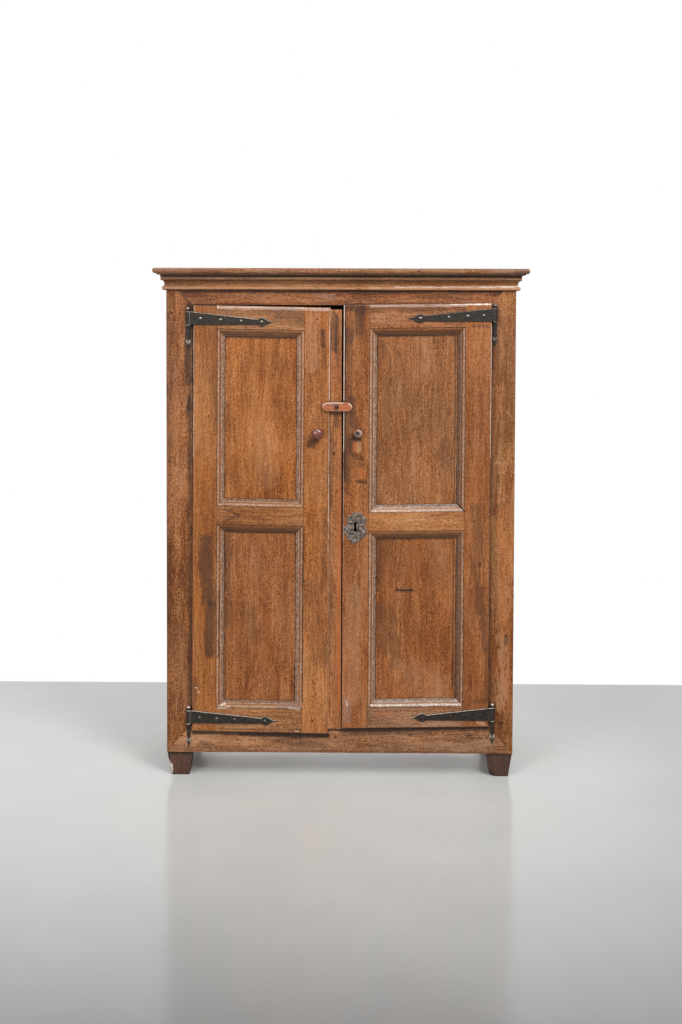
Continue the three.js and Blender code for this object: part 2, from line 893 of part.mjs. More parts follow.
function rail(door, leaf, blank, { from, to, tenon }) {
  const left = door.hingeStile + seatGap;
  const right = leaf.width - door.meetingStile - seatGap;
  const mouldedBelow = from > 0;
  const mouldedAbove = to < leaf.height;
  const face = [];
  if (mouldedBelow) {
    face.push([left, from], [left + mouldWidth, from - mouldWidth]);
    face.push([right - mouldWidth, from - mouldWidth], [right, from]);
  } else {
    face.push([left, from], [right, from]);
  }
  if (mouldedAbove) {
    face.push([right, to], [right - mouldWidth, to + mouldWidth]);
    face.push([left + mouldWidth, to + mouldWidth], [left, to]);
  } else {
    face.push([right, to], [left, to]);
  }
  const middle = (from + to) / 2;
  const half = (to - from) / 2;
  const upward = mouldedAbove ? memberSection(half) : [[half, 0], [half, doorThickness]];
  const downward = mouldedBelow ? memberSection(half) : [[half, 0], [half, doorThickness]];
  const section = [
    ...upward.map(([across, depth]) => [depth, middle + across]),
    ...downward.reverse().map(([across, depth]) => [depth, middle - across]),
  ];
  const body = common(blank, prismY(face, wholeDepth), prismX(section, [0, leaf.width]));
  const tenonEnds = [
    door.hingeStile - doorTenonLength + seatGap,
    leaf.width - door.meetingStile + doorTenonLength - seatGap,
  ];
  return join(body, block(tenonEnds, doorTenonDepths, tenon));
}

// Flat in front, and bevelled behind to the thickness that fills the groove.
function panel({ left, right, bottom, top }) {
  const reach = mouldWidth - panelGrooveDepth + panelSlack;
  const front = panelRecess;
  const edge = panelRecess + panelEdgeThickness;
  const field = panelRecess + panelFieldThickness;
  const bevelled = (from, to) => [
    [from, front],
    [to, front],
    [to, edge],
    [to - panelGrooveDepth, edge],
    [to - panelBevelWidth, field],
    [from + panelBevelWidth, field],
    [from + panelGrooveDepth, edge],
    [from, edge],
  ];
  const across = [left + reach, right - reach];
  const up = [bottom + reach, top - reach];
  return common(
    prismZ(bevelled(...across), up),
    prismX(bevelled(...up).map(([z, y]) => [y, z]), across),
  );
}

const tongueSpan = [tongueFaceInset, tongueFaceInset + tongueThickness];

function closingStrip(door, { width, height }) {
  const near = width + seatGap;
  const far = near + stripWidth;
  const back = stripRecess + stripThickness;
  const section = [
    [near, stripRecess],
    ...arc(far - meetingArris, stripRecess + meetingArris, meetingArris, meetingArris, -1, 0, arrisSteps),
    [far, back],
    [near, back],
    [near, tongueSpan[1]],
    [width - tongueLength, tongueSpan[1]],
    [width - tongueLength, tongueSpan[0]],
    [near, tongueSpan[0]],
  ];
  const lip = door.proud - lipClearance;
  const top = height - stripTopInset;
  const upright = [
    [stripRecess, stripBottomInset],
    [lip, stripBottomInset],
    [lip, rebateBottom],
    [back, rebateBottom],
    [back, top],
    [stripRecess, top],
  ];
  return common(prismZ(section, [stripBottomInset, top]), prismX(upright, [width - tongueLength, far]));
}

function tongueGroove({ width, height }) {
  return block(
    [width - tongueLength - seatGap, width + cutOverrun],
    widened(tongueSpan),
    widened([stripBottomInset, height - stripTopInset]),
  );
}

// Leaf sizes to places relative to the hinge axis. The leaf has dropped at the meeting side
// and leans by a few millimetres, so the matrix shears it in its own plane.
function leafMatrix(door, leaf) {
  const shear = new THREE.Matrix4().set(
    door.side, 0, door.lean / leaf.height, door.side * door.axisFromEdge - door.lean,
    0, 1, 0, -door.proud - hingeAxisY,
    -door.drop / leaf.width, 0, 1, leaf.bottom,
    0, 0, 0, 1,
  );
  return shear;
}

// Ironwork

// Tapered plate with a straight lower edge, ending in a round spear with a sharp tip.
function strap(side, backFace, reach, nailPlaces) {
  const front = backFace - strapThickness;
  const middle = strapNeckHeight / 2;
  const spearAt = reach - spearLength;
  const neckQuarter = Math.asin(middle / spearRadius) / (Math.PI / 2);
  const neckAt = spearAt - Math.sqrt(spearRadius * spearRadius - middle * middle);
  const spear = arc(spearAt, middle, spearRadius, spearRadius, neckQuarter - 2, 2 - neckQuarter, mouldSteps * 3);
  const leafEnd = spear.findIndex(([, z]) => z > middle);
  spear.splice(leafEnd, 0, [reach, middle - spearTipHeight / 2], [reach, middle + spearTipHeight / 2]);
  const plate = [[0, 0], ...spear, [knuckleRadius * 2, strapRootHeight], [0, strapRootHeight]];
  const nails = [...nailPlaces, spearAt].map(x => {
    const alongTaper = Math.min(x, neckAt) / neckAt;
    const z = (strapRootHeight + (strapNeckHeight - strapRootHeight) * alongTaper) / 2;
    return at(nailHead(strapNailRadius, strapNailRise), side * x, front, z);
  });
  const knuckle = at(new THREE.CylinderGeometry(knuckleRadius, knuckleRadius, strapRootHeight, roundSides)
    .rotateX(Math.PI / 2), 0, 0, strapRootHeight / 2);
  const boreRadius = pinRadius + knuckleClearance;
  const bore = at(new THREE.CylinderGeometry(boreRadius, boreRadius, strapRootHeight + 2 * cutOverrun, roundSides)
    .rotateX(Math.PI / 2), 0, 0, strapRootHeight / 2);
  return cut(join(prismY(mirrorX(plate, side), [front, backFace]), knuckle, ...nails), bore);
}

// A low dome that faces the front, its flat side a little behind the origin.
function nailHead(radius, rise) {
  const profile = [[0, -rise / 2], [radius, -rise / 2], ...arc(0, 0, radius, rise, 0, 1, arrisSteps)];
  profile[profile.length - 1][0] = 0;
  return turnedToFront(profile, nailSides);
}

// Origin on the hinge axis at the bottom of the knuckle that it carries.
function pintle() {
  const face = hingeAxisProud - seatGap;
  const pinTop = strapRootHeight + seatGap + ballRise;
  const pin = at(turned([
    [0, -collarHeight - seatGap],
    [collarRadius, -collarHeight - seatGap],
    [collarRadius, -seatGap],
    [pinRadius, -seatGap],
    [pinRadius, pinTop],
    [0, pinTop],
  ]), 0, 0, 0);
  const ball = at(new THREE.SphereGeometry(ballRadius, roundSides, ballRings).rotateX(Math.PI / 2),
    0, 0, pinTop + ballRadius / 2);
  const legHalf = legWidth / 2;
  const tipHalf = legTipWidth / 2;
  const leg = prismY([
    [-legHalf, -seatGap - collarHeight / 2],
    [-tipHalf, -rosetteDrop],
    [0, -pintleTipDrop],
    [tipHalf, -rosetteDrop],
    [legHalf, -seatGap - collarHeight / 2],
  ], [face - legThickness, face]);
  const rosette = at(turnedToFront([
    [0, 0],
    [rosetteRadius, 0],
    ...arc(0, 0, rosetteRadius, rosetteRise, 0, 1, arrisSteps).slice(1, -1),
    [0, rosetteRise],
  ], roundSides), 0, face, -rosetteDrop);
  const spikeHalf = spikeWidth / 2;
  const spike = block([-spikeHalf, spikeHalf], [face - legThickness / 2, hingeAxisProud + spikeLength],
    [-spikeDrop - spikeHalf, -spikeDrop + spikeHalf]);
  return join(pin, ball, leg, rosette, spike);
}

// Turned and carved wood

// The left knob is a full mushroom. The right one is a plain peg, worn hollow at its end.
function mushroomKnob() {
  const bottom = knobNeckLength;
  const middle = bottom + knobHeadLength * knobWidestShare;
  const top = bottom + knobHeadLength;
  return at(turnedToFront([
    [0, -knobTenonLength],
    [knobTenonRadius, -knobTenonLength],
    [knobTenonRadius, seatGap],
    [knobNeckRadius, seatGap],
    [knobNeckRadius, bottom],
    ...arc(0, middle, knobHeadRadius, middle - bottom, knobUnderQuarter, 0, arrisSteps),
    ...arc(0, middle, knobHeadRadius, top - middle, 0, 1, mouldSteps).slice(1, -1),
    [0, top],
  ]), 0, 0, 0);
}

function pegKnob() {
  return at(turnedToFront([
    [0, -knobTenonLength],
    [knobTenonRadius, -knobTenonLength],
    [knobTenonRadius, seatGap],
    [pegKnobRadius, seatGap],
    [pegKnobRadius, pegKnobLength - pegKnobHollow * 2],
    [pegKnobEndRadius, pegKnobLength],
    [pegKnobRimRadius, pegKnobLength],
    [pegKnobHollowRadius, pegKnobLength - pegKnobHollow],
    [0, pegKnobLength - pegKnobHollow],
  ]), 0, 0, 0);
}

function knobHole(x, y, z) {
  const radius = knobTenonRadius + seatGap;
  const length = knobTenonLength + seatGap + cutOverrun;
  const hole = new THREE.CylinderGeometry(radius, radius, length, roundSides);
  return at(hole, x, y + length / 2 - cutOverrun, z);
}

// Turn button, origin on its nail at the plane of its back face.
function turnButton(bossHeight) {
  const halfLength = buttonLength / 2;
  const halfHeight = buttonHeight / 2;
  const sweep = Math.asin(halfHeight / buttonEndRadius) / (Math.PI / 2);
  const centre = halfLength - buttonEndRadius;
  const face = inset => [
    ...arc(centre, 0, buttonEndRadius - inset, buttonEndRadius - inset, -sweep, sweep, mouldSteps),
    ...arc(-centre, 0, buttonEndRadius - inset, buttonEndRadius - inset, 2 - sweep, 2 + sweep, mouldSteps),
  ];
  const chamfered = [
    [halfLength, -buttonThickness + buttonChamfer],
    [halfLength, 0],
    [-halfLength, 0],
    [-halfLength, -buttonThickness + buttonChamfer],
    [-halfLength + buttonChamfer * 2, -buttonThickness],
    [halfLength - buttonChamfer * 2, -buttonThickness],
  ];
  const upright = [
    [-buttonThickness + buttonChamfer, halfHeight],
    [0, halfHeight],
    [0, -halfHeight],
    [-buttonThickness + buttonChamfer, -halfHeight],
    [-buttonThickness, -halfHeight + buttonChamfer],
    [-buttonThickness, halfHeight - buttonChamfer],
  ];
  const blade = common(
    prismY(face(0), [-buttonThickness, 0]),
    prismZ(chamfered, [-halfHeight, halfHeight]),
    prismX(upright, [-halfLength, halfLength]),
  );
  const boss = at(turnedToFront([
    [0, -bossHeight],
    [buttonBossRadius, -bossHeight],
    [buttonBossRadius, buttonThickness / 2],
    [0, buttonThickness / 2],
  ]), 0, 0, 0);
  const holeRadius = nailShankRadius + nailClearance;
  const hole = new THREE.CylinderGeometry(holeRadius, holeRadius, 2 * buttonThickness + 2 * bossHeight, nailSides * 2);
  return cut(join(blade, boss), at(hole, 0, 0, 0));
}

function buttonNail(bossHeight) {
  const headBase = buttonThickness + nailClearance;
  return at(turnedToFront([
    [0, -bossHeight - nailGrip],
    [nailShankRadius, -bossHeight - nailGrip + nailShankRadius],
    [nailShankRadius, headBase],
    [nailHeadRadius, headBase],
    ...arc(0, headBase, nailHeadRadius, nailHeadRise, 0, 1, arrisSteps).slice(1, -1),
    [0, headBase + nailHeadRise],
  ], nailSides * 2), 0, 0, 0);
}

function nailHole(x, y, z) {
  const radius = nailShankRadius + nailClearance;
  const length = nailGrip + nailClearance + cutOverrun;
  const hole = new THREE.CylinderGeometry(radius, radius, length, nailSides * 2);
  return at(hole, x, y + length / 2 - cutOverrun, z);
}

// Escutcheon: half outline as shares of the half width and half height, from the tip upwards.
const plateOutlineShares = [
  [0.0, -1.0], [0.25, -0.86], [0.3, -0.8], [0.62, -0.6], [0.66, -0.54], [0.95, -0.32], [1.0, -0.12],
  [0.93, 0.0], [0.76, 0.16], [0.72, 0.26], [0.8, 0.36], [0.8, 0.56], [0.78, 0.66], [0.62, 0.74],
  [0.46, 0.72], [0.36, 0.78], [0.44, 0.92], [0.32, 0.98], [0.2, 0.86], [0.12, 0.88], [0.12, 0.98], [0.0, 1.0],
];
const piercingShares = [[0.45, 0.33], [-0.45, 0.33], [0.0, -0.76]];

// Round eye over a wedge that widens downwards, with the origin on the lock's axis.
function keyhole([y0, y1]) {
  const half = keyholeNeckWidth / 2;
  const neckQuarter = Math.asin(half / keyholeRadius) / (Math.PI / 2);
  const eye = arc(keyholeEyeX, keyholeEyeRise, keyholeRadius, keyholeRadius,
    neckQuarter - 1, 3 - neckQuarter, mouldSteps * 3);
  return prismY([
    ...eye,
    [keyholeEyeX - half, 0],
    [wedgeLeftX, -wedgeLeftDrop],
    [wedgeRightX, -wedgeRightDrop],
    [keyholeEyeX + half, 0],
  ], [y0, y1]);
}

function escutcheon() {
  const right = plateOutlineShares.map(([x, z]) => [x * plateWidth / 2, z * plateHeight / 2]);
  const left = mirrorX(right, -1).slice(1, -1).reverse();
  const depths = [-plateThickness, 0];
  const piercings = piercingShares.map(([x, z]) => at(
    new THREE.CylinderGeometry(piercingRadius, piercingRadius, plateThickness + 2 * cutOverrun, nailSides),
    x * plateWidth / 2, -plateThickness / 2, z * plateHeight / 2,
  ));
  const tilt = new THREE.Matrix4().makeRotationY(plateTiltDegrees * Math.PI / 180);
  tilt.setPosition(plateOffsetX, 0, plateOffsetZ);
  const plate = moved(cut(prismY([...right, ...left], depths), ...piercings), tilt);
  return cut(plate, keyhole(widened(depths, cutOverrun)));
}

// Box lock, origin on the key's axis at the plane of the door's back.
function lockCase(edgeX) {
  const left = edgeX + caseEdgeInset;
  const right = left + caseWidth;
  const half = caseHeight / 2;
  const front = seatGap;
  const back = front + caseDepth;
  const shell = block([left, right], [front, back], [-half, half]);
  const channel = block([left - cutOverrun, left + boltLength + boltTravel],
    [front + boltBackset - boltGap, front + boltBackset + boltThickness + boltGap],
    [boltRise - boltHeight / 2 - boltGap, boltRise + boltHeight / 2 + boltGap]);
  const pocketHalf = keyholePassageHeight / 2;
  const pocket = block([-keyholePassageWidth, keyholePassageWidth], [front + caseWall, back - caseWall],
    [-pocketHalf, pocketHalf]);
  const throat = block([-keyholePassageWidth / 2, keyholePassageWidth / 2], [front - cutOverrun, back - caseWall],
    [-pocketHalf, pocketHalf]);
  return cut(shell, channel, pocket, throat);
}

function lockBolt() {
  return block([0, boltLength], [0, boltThickness], [-boltHeight / 2, boltHeight / 2]);
}

function keyPassage(x, [y0, y1], z) {
  const halfWidth = keyholePassageWidth / 2;
  const halfHeight = keyholePassageHeight / 2;
  return block([x - halfWidth, x + halfWidth], [y0, y1], [z - halfHeight, z + halfHeight]);
}

// Assembly

function addCarcass(group) {
  const sides = { left: -1, right: 1 };
  group.add(mesh('front_top_rail', frontRail(openingTop, carcassTop, topTenonSpan), oak));
  const bottomRail = frontRail(openingBottom, footHeight, bottomTenonSpan);
  group.add(mesh('front_bottom_rail', cut(bottomRail, floorGroove, ...spikeHoles), oak));
  for (const [name, zSpan] of Object.entries(rearRailSpans)) {
    group.add(mesh(name, rearRail(zSpan), darkOak));
  }
  for (const [word, side] of Object.entries(sides)) {
    group.add(mesh(`${word}_front_post`, frontPost(side), oak));
    group.add(mesh(`${word}_rear_post`, rearPost(side), darkOak));
    for (const [place, zSpan] of Object.entries(sideRailSpans)) {
      group.add(mesh(`${word}_side_${place}_rail`, sideRail(side, zSpan), oak));
    }
    const { top, mid, bottom } = sideRailSpans;
    group.add(mesh(`${word}_side_upper_panel`, sidePanel(side, [mid[1], top[0]]), oak));
    group.add(mesh(`${word}_side_lower_panel`, sidePanel(side, [bottom[1], mid[0]]), oak));
    group.add(mesh(`${word}_cornice_return`, corniceReturn(side), oak));
    group.add(mesh(`${word}_front_foot`, foot(side), footOak));
  }
  group.add(mesh('floor_board', floorBoard(), darkOak));
  for (const [name, top] of Object.entries(shelfHeights)) {
    group.add(mesh(name, shelf(top), darkOak));
  }
  const boardSpan = [footHeight + backBoardMargin, carcassTop - backBoardMargin];
  for (let index = 0; index < backBoardCount; index += 1) {
    group.add(mesh(`back_board_${index + 1}`, prismZ(backBoard(index), boardSpan), darkOak));
  }
  group.add(mesh('front_cornice', corniceFront(), oak));
  group.add(mesh('top_board', topBoard(), oak));
  for (const { name, x, z } of pintles) {
    const piece = mesh(name, pintle(), iron);
    piece.position.set(x, hingeAxisY, z);
    group.add(piece);
  }
}

// Cutters are given in places relative to the hinge axis, as the finished pieces are.
function addLeaf(group, door, leaf, stileCutters) {
  const blank = leafBlank(door, leaf);
  const matrix = leafMatrix(door, leaf);
  const { prefix } = door;
  const place = (name, solid, cutters = []) => {
    group.add(mesh(`${prefix}_${name}`, cut(moved(solid, matrix), ...cutters), oak));
  };
  place('hinge_stile', stile(door, leaf, blank, true));
  const meetingStile = stile(door, leaf, blank, false);
  const hasStrip = door === leftDoor;
  place('meeting_stile', hasStrip ? cut(meetingStile, tongueGroove(leaf)) : meetingStile, stileCutters);
  for (const spec of railSpans(door, leaf)) {
    place(spec.name, rail(door, leaf, blank, spec));
  }
  const { upper, lower } = apertures(door, leaf);
  place('upper_panel', panel(upper));
  place('lower_panel', panel(lower));
}

function addStraps(group, door, leaf) {
  const backFace = -door.proud - seatGap - hingeAxisY;
  const straps = {
    upper: [leaf.upperStrap, door.upperStrapReach, door.upperStrapNails],
    lower: [leaf.lowerStrap, door.lowerStrapReach, door.lowerStrapNails],
  };
  for (const [word, [z, reach, nailPlaces]] of Object.entries(straps)) {
    const piece = mesh(`${door.prefix}_${word}_strap`, strap(door.side, backFace, reach, nailPlaces), iron);
    piece.position.set(0, 0, z);
    group.add(piece);
  }
}

function doorGroup(door) {
  const leaf = doorPlaces(door);
  const group = new THREE.Group();
  group.position.set(leaf.axis, hingeAxisY, 0);
  const faceY = -door.proud - hingeAxisY;
  const knobX = leaf.meetingX - door.side * door.knobFromMeeting - leaf.axis;
  addStraps(group, door, leaf);
  return { leaf, group, faceY, knobX };
}

function leftDoorGroup() {
  const { leaf, group, faceY, knobX } = doorGroup(leftDoor);
  addLeaf(group, leftDoor, leaf, [knobHole(knobX, faceY, knobHeight)]);
  const knob = mesh('left_knob', mushroomKnob(), knobWood);
  knob.position.set(knobX, faceY, knobHeight);
  group.add(knob);

  // The button's back clears the face of the right door, which stands further out.
  const pivotX = leaf.meetingX + buttonPivotInset - leaf.axis;
  const buttonY = -rightDoor.proud - buttonFaceGap - hingeAxisY;
  const stripFace = faceY + stripRecess;
  const bossHeight = stripFace - seatGap - buttonY;
  const strip = moved(closingStrip(leftDoor, leaf), leafMatrix(leftDoor, leaf));
  group.add(mesh('closing_strip', cut(strip, nailHole(pivotX, stripFace, buttonPivotHeight)), oak));
  const button = mesh('turn_button', turnButton(bossHeight), orangeWood);
  const nail = mesh('button_nail', buttonNail(bossHeight), iron);
  for (const piece of [button, nail]) {
    piece.position.set(pivotX, buttonY, buttonPivotHeight);
    group.add(piece);
  }
  return group;
}

function rightDoorGroup() {
  const { leaf, group, faceY, knobX } = doorGroup(rightDoor);
  const edgeX = leaf.meetingX - leaf.axis;
  const lockX = edgeX + lockAxisInset;
  const backY = faceY + doorThickness;
  addLeaf(group, rightDoor, leaf, [
    knobHole(knobX, faceY, knobHeight),
    keyPassage(lockX, widened([faceY, backY], cutOverrun), lockHeight),
  ]);
  const knob = mesh('right_knob', pegKnob(), orangeWood);
  knob.position.set(knobX, faceY, knobHeight);
  const plate = mesh('escutcheon', escutcheon(), iron);
  plate.position.set(lockX, faceY - seatGap, lockHeight);
  const box = mesh('lock_case', lockCase(edgeX - lockX), iron);
  box.position.set(lockX, backY, lockHeight);
  const bolt = mesh('lock_bolt', lockBolt(), iron);
  bolt.position.set(edgeX + caseEdgeInset, backY + seatGap + boltBackset, lockHeight + boltRise);
  group.add(knob, plate, box, bolt);
  return group;
}

const cupboard = new THREE.Group();
cupboard.name = 'kas_cupboard';
addCarcass(cupboard);
cupboard.add(leftDoorGroup(), rightDoorGroup());
cupboard.position.set(0, -depthCentre, 0);

export default cupboard;
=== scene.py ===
"""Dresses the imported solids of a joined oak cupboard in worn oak, forged iron and hand-turned wood."""
import logging
import math
import random
from dataclasses import dataclass, field
from enum import Enum
from typing import Iterable, Optional, Sequence

import bmesh
import bpy
from mathutils import Matrix, Vector


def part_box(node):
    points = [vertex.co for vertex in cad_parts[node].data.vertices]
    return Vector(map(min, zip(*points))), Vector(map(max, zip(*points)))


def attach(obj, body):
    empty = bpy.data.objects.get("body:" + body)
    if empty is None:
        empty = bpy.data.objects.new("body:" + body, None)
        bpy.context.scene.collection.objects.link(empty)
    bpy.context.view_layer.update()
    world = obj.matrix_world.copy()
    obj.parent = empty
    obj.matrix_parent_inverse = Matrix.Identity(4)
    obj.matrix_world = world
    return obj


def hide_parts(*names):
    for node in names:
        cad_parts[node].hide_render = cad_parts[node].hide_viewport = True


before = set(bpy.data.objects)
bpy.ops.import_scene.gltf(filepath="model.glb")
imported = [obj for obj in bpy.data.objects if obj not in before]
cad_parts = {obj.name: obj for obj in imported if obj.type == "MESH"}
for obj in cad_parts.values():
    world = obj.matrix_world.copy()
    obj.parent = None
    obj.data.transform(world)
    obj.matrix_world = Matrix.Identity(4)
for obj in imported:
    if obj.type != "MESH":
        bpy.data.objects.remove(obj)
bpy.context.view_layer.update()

log = logging.getLogger("cupboard")

MM = 0.001
CARCASS_FRONT_Y = -0.196
CHIP_Y = CARCASS_FRONT_Y + 0.006
HINGE_AXIS_Y = -0.2045
LEFT_FACE_Y = -0.205
RIGHT_FACE_Y = -0.208
FIT = 0.3 * MM
FULL = 255.0
BLACKEST = 6.0
ROUND_SAMPLES = 4
LIP_SAMPLES = 6
CRACK_DEPTH = -3.0
SUNK_WIDTH = (0.9, 2.6)
# Amounts of dirt and painted shade along a sunk panel's top, right, left and bottom edge.
SUNK_AMOUNTS = (0.9, 0.8, 0.6, 0.35)
SUNK_BREAK = (1.6, 0.7, 90)
EDGE_WAVES = ((9.0, 3.7, 0.6), (13.0, 5.1, 0.5))
PLATE_WELD = 1e-5
SRGB_KNEE, SRGB_SLOPE, SRGB_LIFT, SRGB_POWER = 0.04045, 12.92, 0.055, 2.4

Colour = tuple[float, float, float]
Point = tuple[float, float]
Sweep = tuple[float, float, int]
Band = tuple[float, float, float, float]
Socket = bpy.types.NodeSocket


def linear(colour: Colour) -> tuple[float, float, float, float]:
    """Turns a written colour into a linear one.

    Args:
        colour: red, green and blue of 0 to 255.

    Returns:
        Linear red, green and blue, and a full alpha.
    """
    def channel(value: float) -> float:
        """One channel in linear light."""
        curved = ((value / FULL + SRGB_LIFT) / (1 + SRGB_LIFT)) ** SRGB_POWER
        return value / FULL / SRGB_SLOPE if value / FULL <= SRGB_KNEE else curved

    return (*(channel(value) for value in colour), 1.0)


# Node trees

class Graph:
    """Adds and links the nodes of one tree."""

    def __init__(self, tree: bpy.types.NodeTree) -> None:
        """Keeps the tree that this graph fills."""
        self.tree = tree

    def feed(self, socket: Socket, value: object) -> None:
        """Gives an input its value.

        Args:
            socket: the input.
            value: an output to link, or a plain value.
        """
        if isinstance(value, bpy.types.NodeSocket):
            self.tree.links.new(value, socket)
        else:
            socket.default_value = value

    def add(self, kind: str, *args: object, settings: Optional[dict] = None,
            **inputs: object) -> bpy.types.Node:
        """Adds a node.

        Args:
            kind: the node's type name.
            args: values for the first inputs, in order; None leaves one alone.
            settings: the node's own properties.
            inputs: values for inputs by name, with underscores for spaces.

        Returns:
            The new node.
        """
        node = self.tree.nodes.new(kind)
        for name, value in (settings or {}).items():
            setattr(node, name, value)
        for index, value in enumerate(args):
            if value is not None:
                self.feed(node.inputs[index], value)
        return self.fill(node, **inputs)

    def fill(self, node: bpy.types.Node, **inputs: object) -> bpy.types.Node:
        """Feeds a node's inputs by name.

        Args:
            node: the node.
            inputs: values by input name, with underscores for spaces.

        Returns:
            The same node.
        """
        for name, value in inputs.items():
            self.feed(node.inputs[name.replace("_", " ")], value)
        return node

    def group(self, tree: bpy.types.NodeTree, **inputs: object) -> bpy.types.bpy_prop_collection:
        """Places a shared group and gives its outputs."""
        return self.add("ShaderNodeGroup", settings={"node_tree": tree}, **inputs).outputs

    def math(self, operation: str, *args: object, clamp: bool = False) -> Socket:
        """Adds a Math node and gives its output."""
        settings = {"operation": operation, "use_clamp": clamp}
        return self.add("ShaderNodeMath", *args, settings=settings).outputs[0]

    def times(self, *args: object, clamp: bool = False) -> Socket:
        """Multiplies two values."""
        return self.math("MULTIPLY", *args, clamp=clamp)

    def most(self, *args: object) -> Socket:
        """Takes the larger of two values."""
        return self.math("MAXIMUM", *args)

    def less(self, *args: object) -> Socket:
        """Takes the second value from the first."""
        return self.math("SUBTRACT", *args)

    def fused(self, *args: object, clamp: bool = False) -> Socket:
        """Multiplies the first two values and adds the third."""
        return self.math("MULTIPLY_ADD", *args, clamp=clamp)

    def scaled(self, vector: object, by: Socket) -> Socket:
        """Scales a vector by one value."""
        return self.fill(self.vector("SCALE", vector), Scale=by).outputs[0]

    def centred(self, noise: bpy.types.Node) -> Socket:
        """A noise's colour as a vector round zero."""
        return self.vector("SUBTRACT", noise.outputs["Color"], (0.5, 0.5, 0.5)).outputs[0]

    def stretch(self, vector: Socket, by: object) -> Socket:
        """Multiplies a vector by another, part by part."""
        return self.vector("MULTIPLY", vector, by).outputs[0]

    def vector(self, operation: str, *args: object) -> bpy.types.Node:
        """Adds a Vector Math node."""
        return self.add("ShaderNodeVectorMath", *args, settings={"operation": operation})

    def remap(self, value: object, low: object, high: object, to_low: object = 0.0, to_high: object = 1.0,
              smooth: bool = False) -> Socket:
        """Maps a range of a value to another, clamped.

        Args:
            value: the value to map.
            low: where the input range starts.
            high: where it ends.
            to_low: the result at its start.
            to_high: the result at its end.
            smooth: whether the ends are eased.

        Returns:
            The mapped value's socket.
        """
        kind = "SMOOTHSTEP" if smooth else "LINEAR"
        node = self.add("ShaderNodeMapRange", value, low, high, to_low, to_high,
                        settings={"interpolation_type": kind})
        return node.outputs[0]

    def mix(self, share: object, first: object, second: object, blend: str = "MIX") -> Socket:
        """Mixes two colours.

        Args:
            share: how much of the second is used.
            first: the colour below.
            second: the colour on top.
            blend: the way they mix.

        Returns:
            The mixed colour's socket.
        """
        node = self.add("ShaderNodeMix", settings={"data_type": "RGBA", "blend_type": blend})
        for index, value in zip((0, 6, 7), (share, first, second)):
            self.feed(node.inputs[index], value)
        return node.outputs[2]

    def noise(self, vector: Socket, scale: object, detail: float = 2.0, roughness: float = 0.5,
              distortion: float = 0.0) -> bpy.types.Node:
        """Adds a Noise Texture node."""
        return self.add("ShaderNodeTexNoise", Vector=vector, Scale=scale, Detail=detail,
                        Roughness=roughness, Distortion=distortion)


def open_group(name: str, inputs: Iterable[tuple[str, str, object]], outputs: Iterable[tuple[str, str]]
               ) -> tuple[Graph, bpy.types.bpy_prop_collection, bpy.types.Node]:
    """Makes an empty shader node group with named sockets.

    Args:
        name: the group's name.
        inputs: each input's name, kind and starting value.
        outputs: each output's name and kind.

    Returns:
        The graph, what it is given, and the node that takes its results.
    """
    tree = bpy.data.node_groups.new(name, "ShaderNodeTree")
    for label, kind, value in inputs:
        socket = tree.interface.new_socket(label, in_out="INPUT", socket_type=f"NodeSocket{kind}")
        if value is not None:
            socket.default_value = value
    for label, kind in outputs:
        tree.interface.new_socket(label, in_out="OUTPUT", socket_type=f"NodeSocket{kind}")
    graph = Graph(tree)
    return graph, graph.add("NodeGroupInput").outputs, graph.add("NodeGroupOutput")


def new_material(name: str) -> tuple[bpy.types.Material, Graph, bpy.types.Node, Socket]:
    """Starts a material with nodes.

    Args:
        name: its name.

    Returns:
        The material, its graph, its surface node and its object coordinates.
    """
    made = bpy.data.materials.new(name)
    made.use_nodes = True
    graph = Graph(made.node_tree)
    shader = made.node_tree.nodes["Principled BSDF"]
    return made, graph, shader, graph.add("ShaderNodeTexCoord").outputs["Object"]


@dataclass(frozen=True)
class Layer:
    """One noise in the oak: how it is drawn out, its detail and roughness, and its weight in the tone."""

    stretch: tuple[float, float, float]
    detail: float
    roughness: float
    weight: float = 0.0


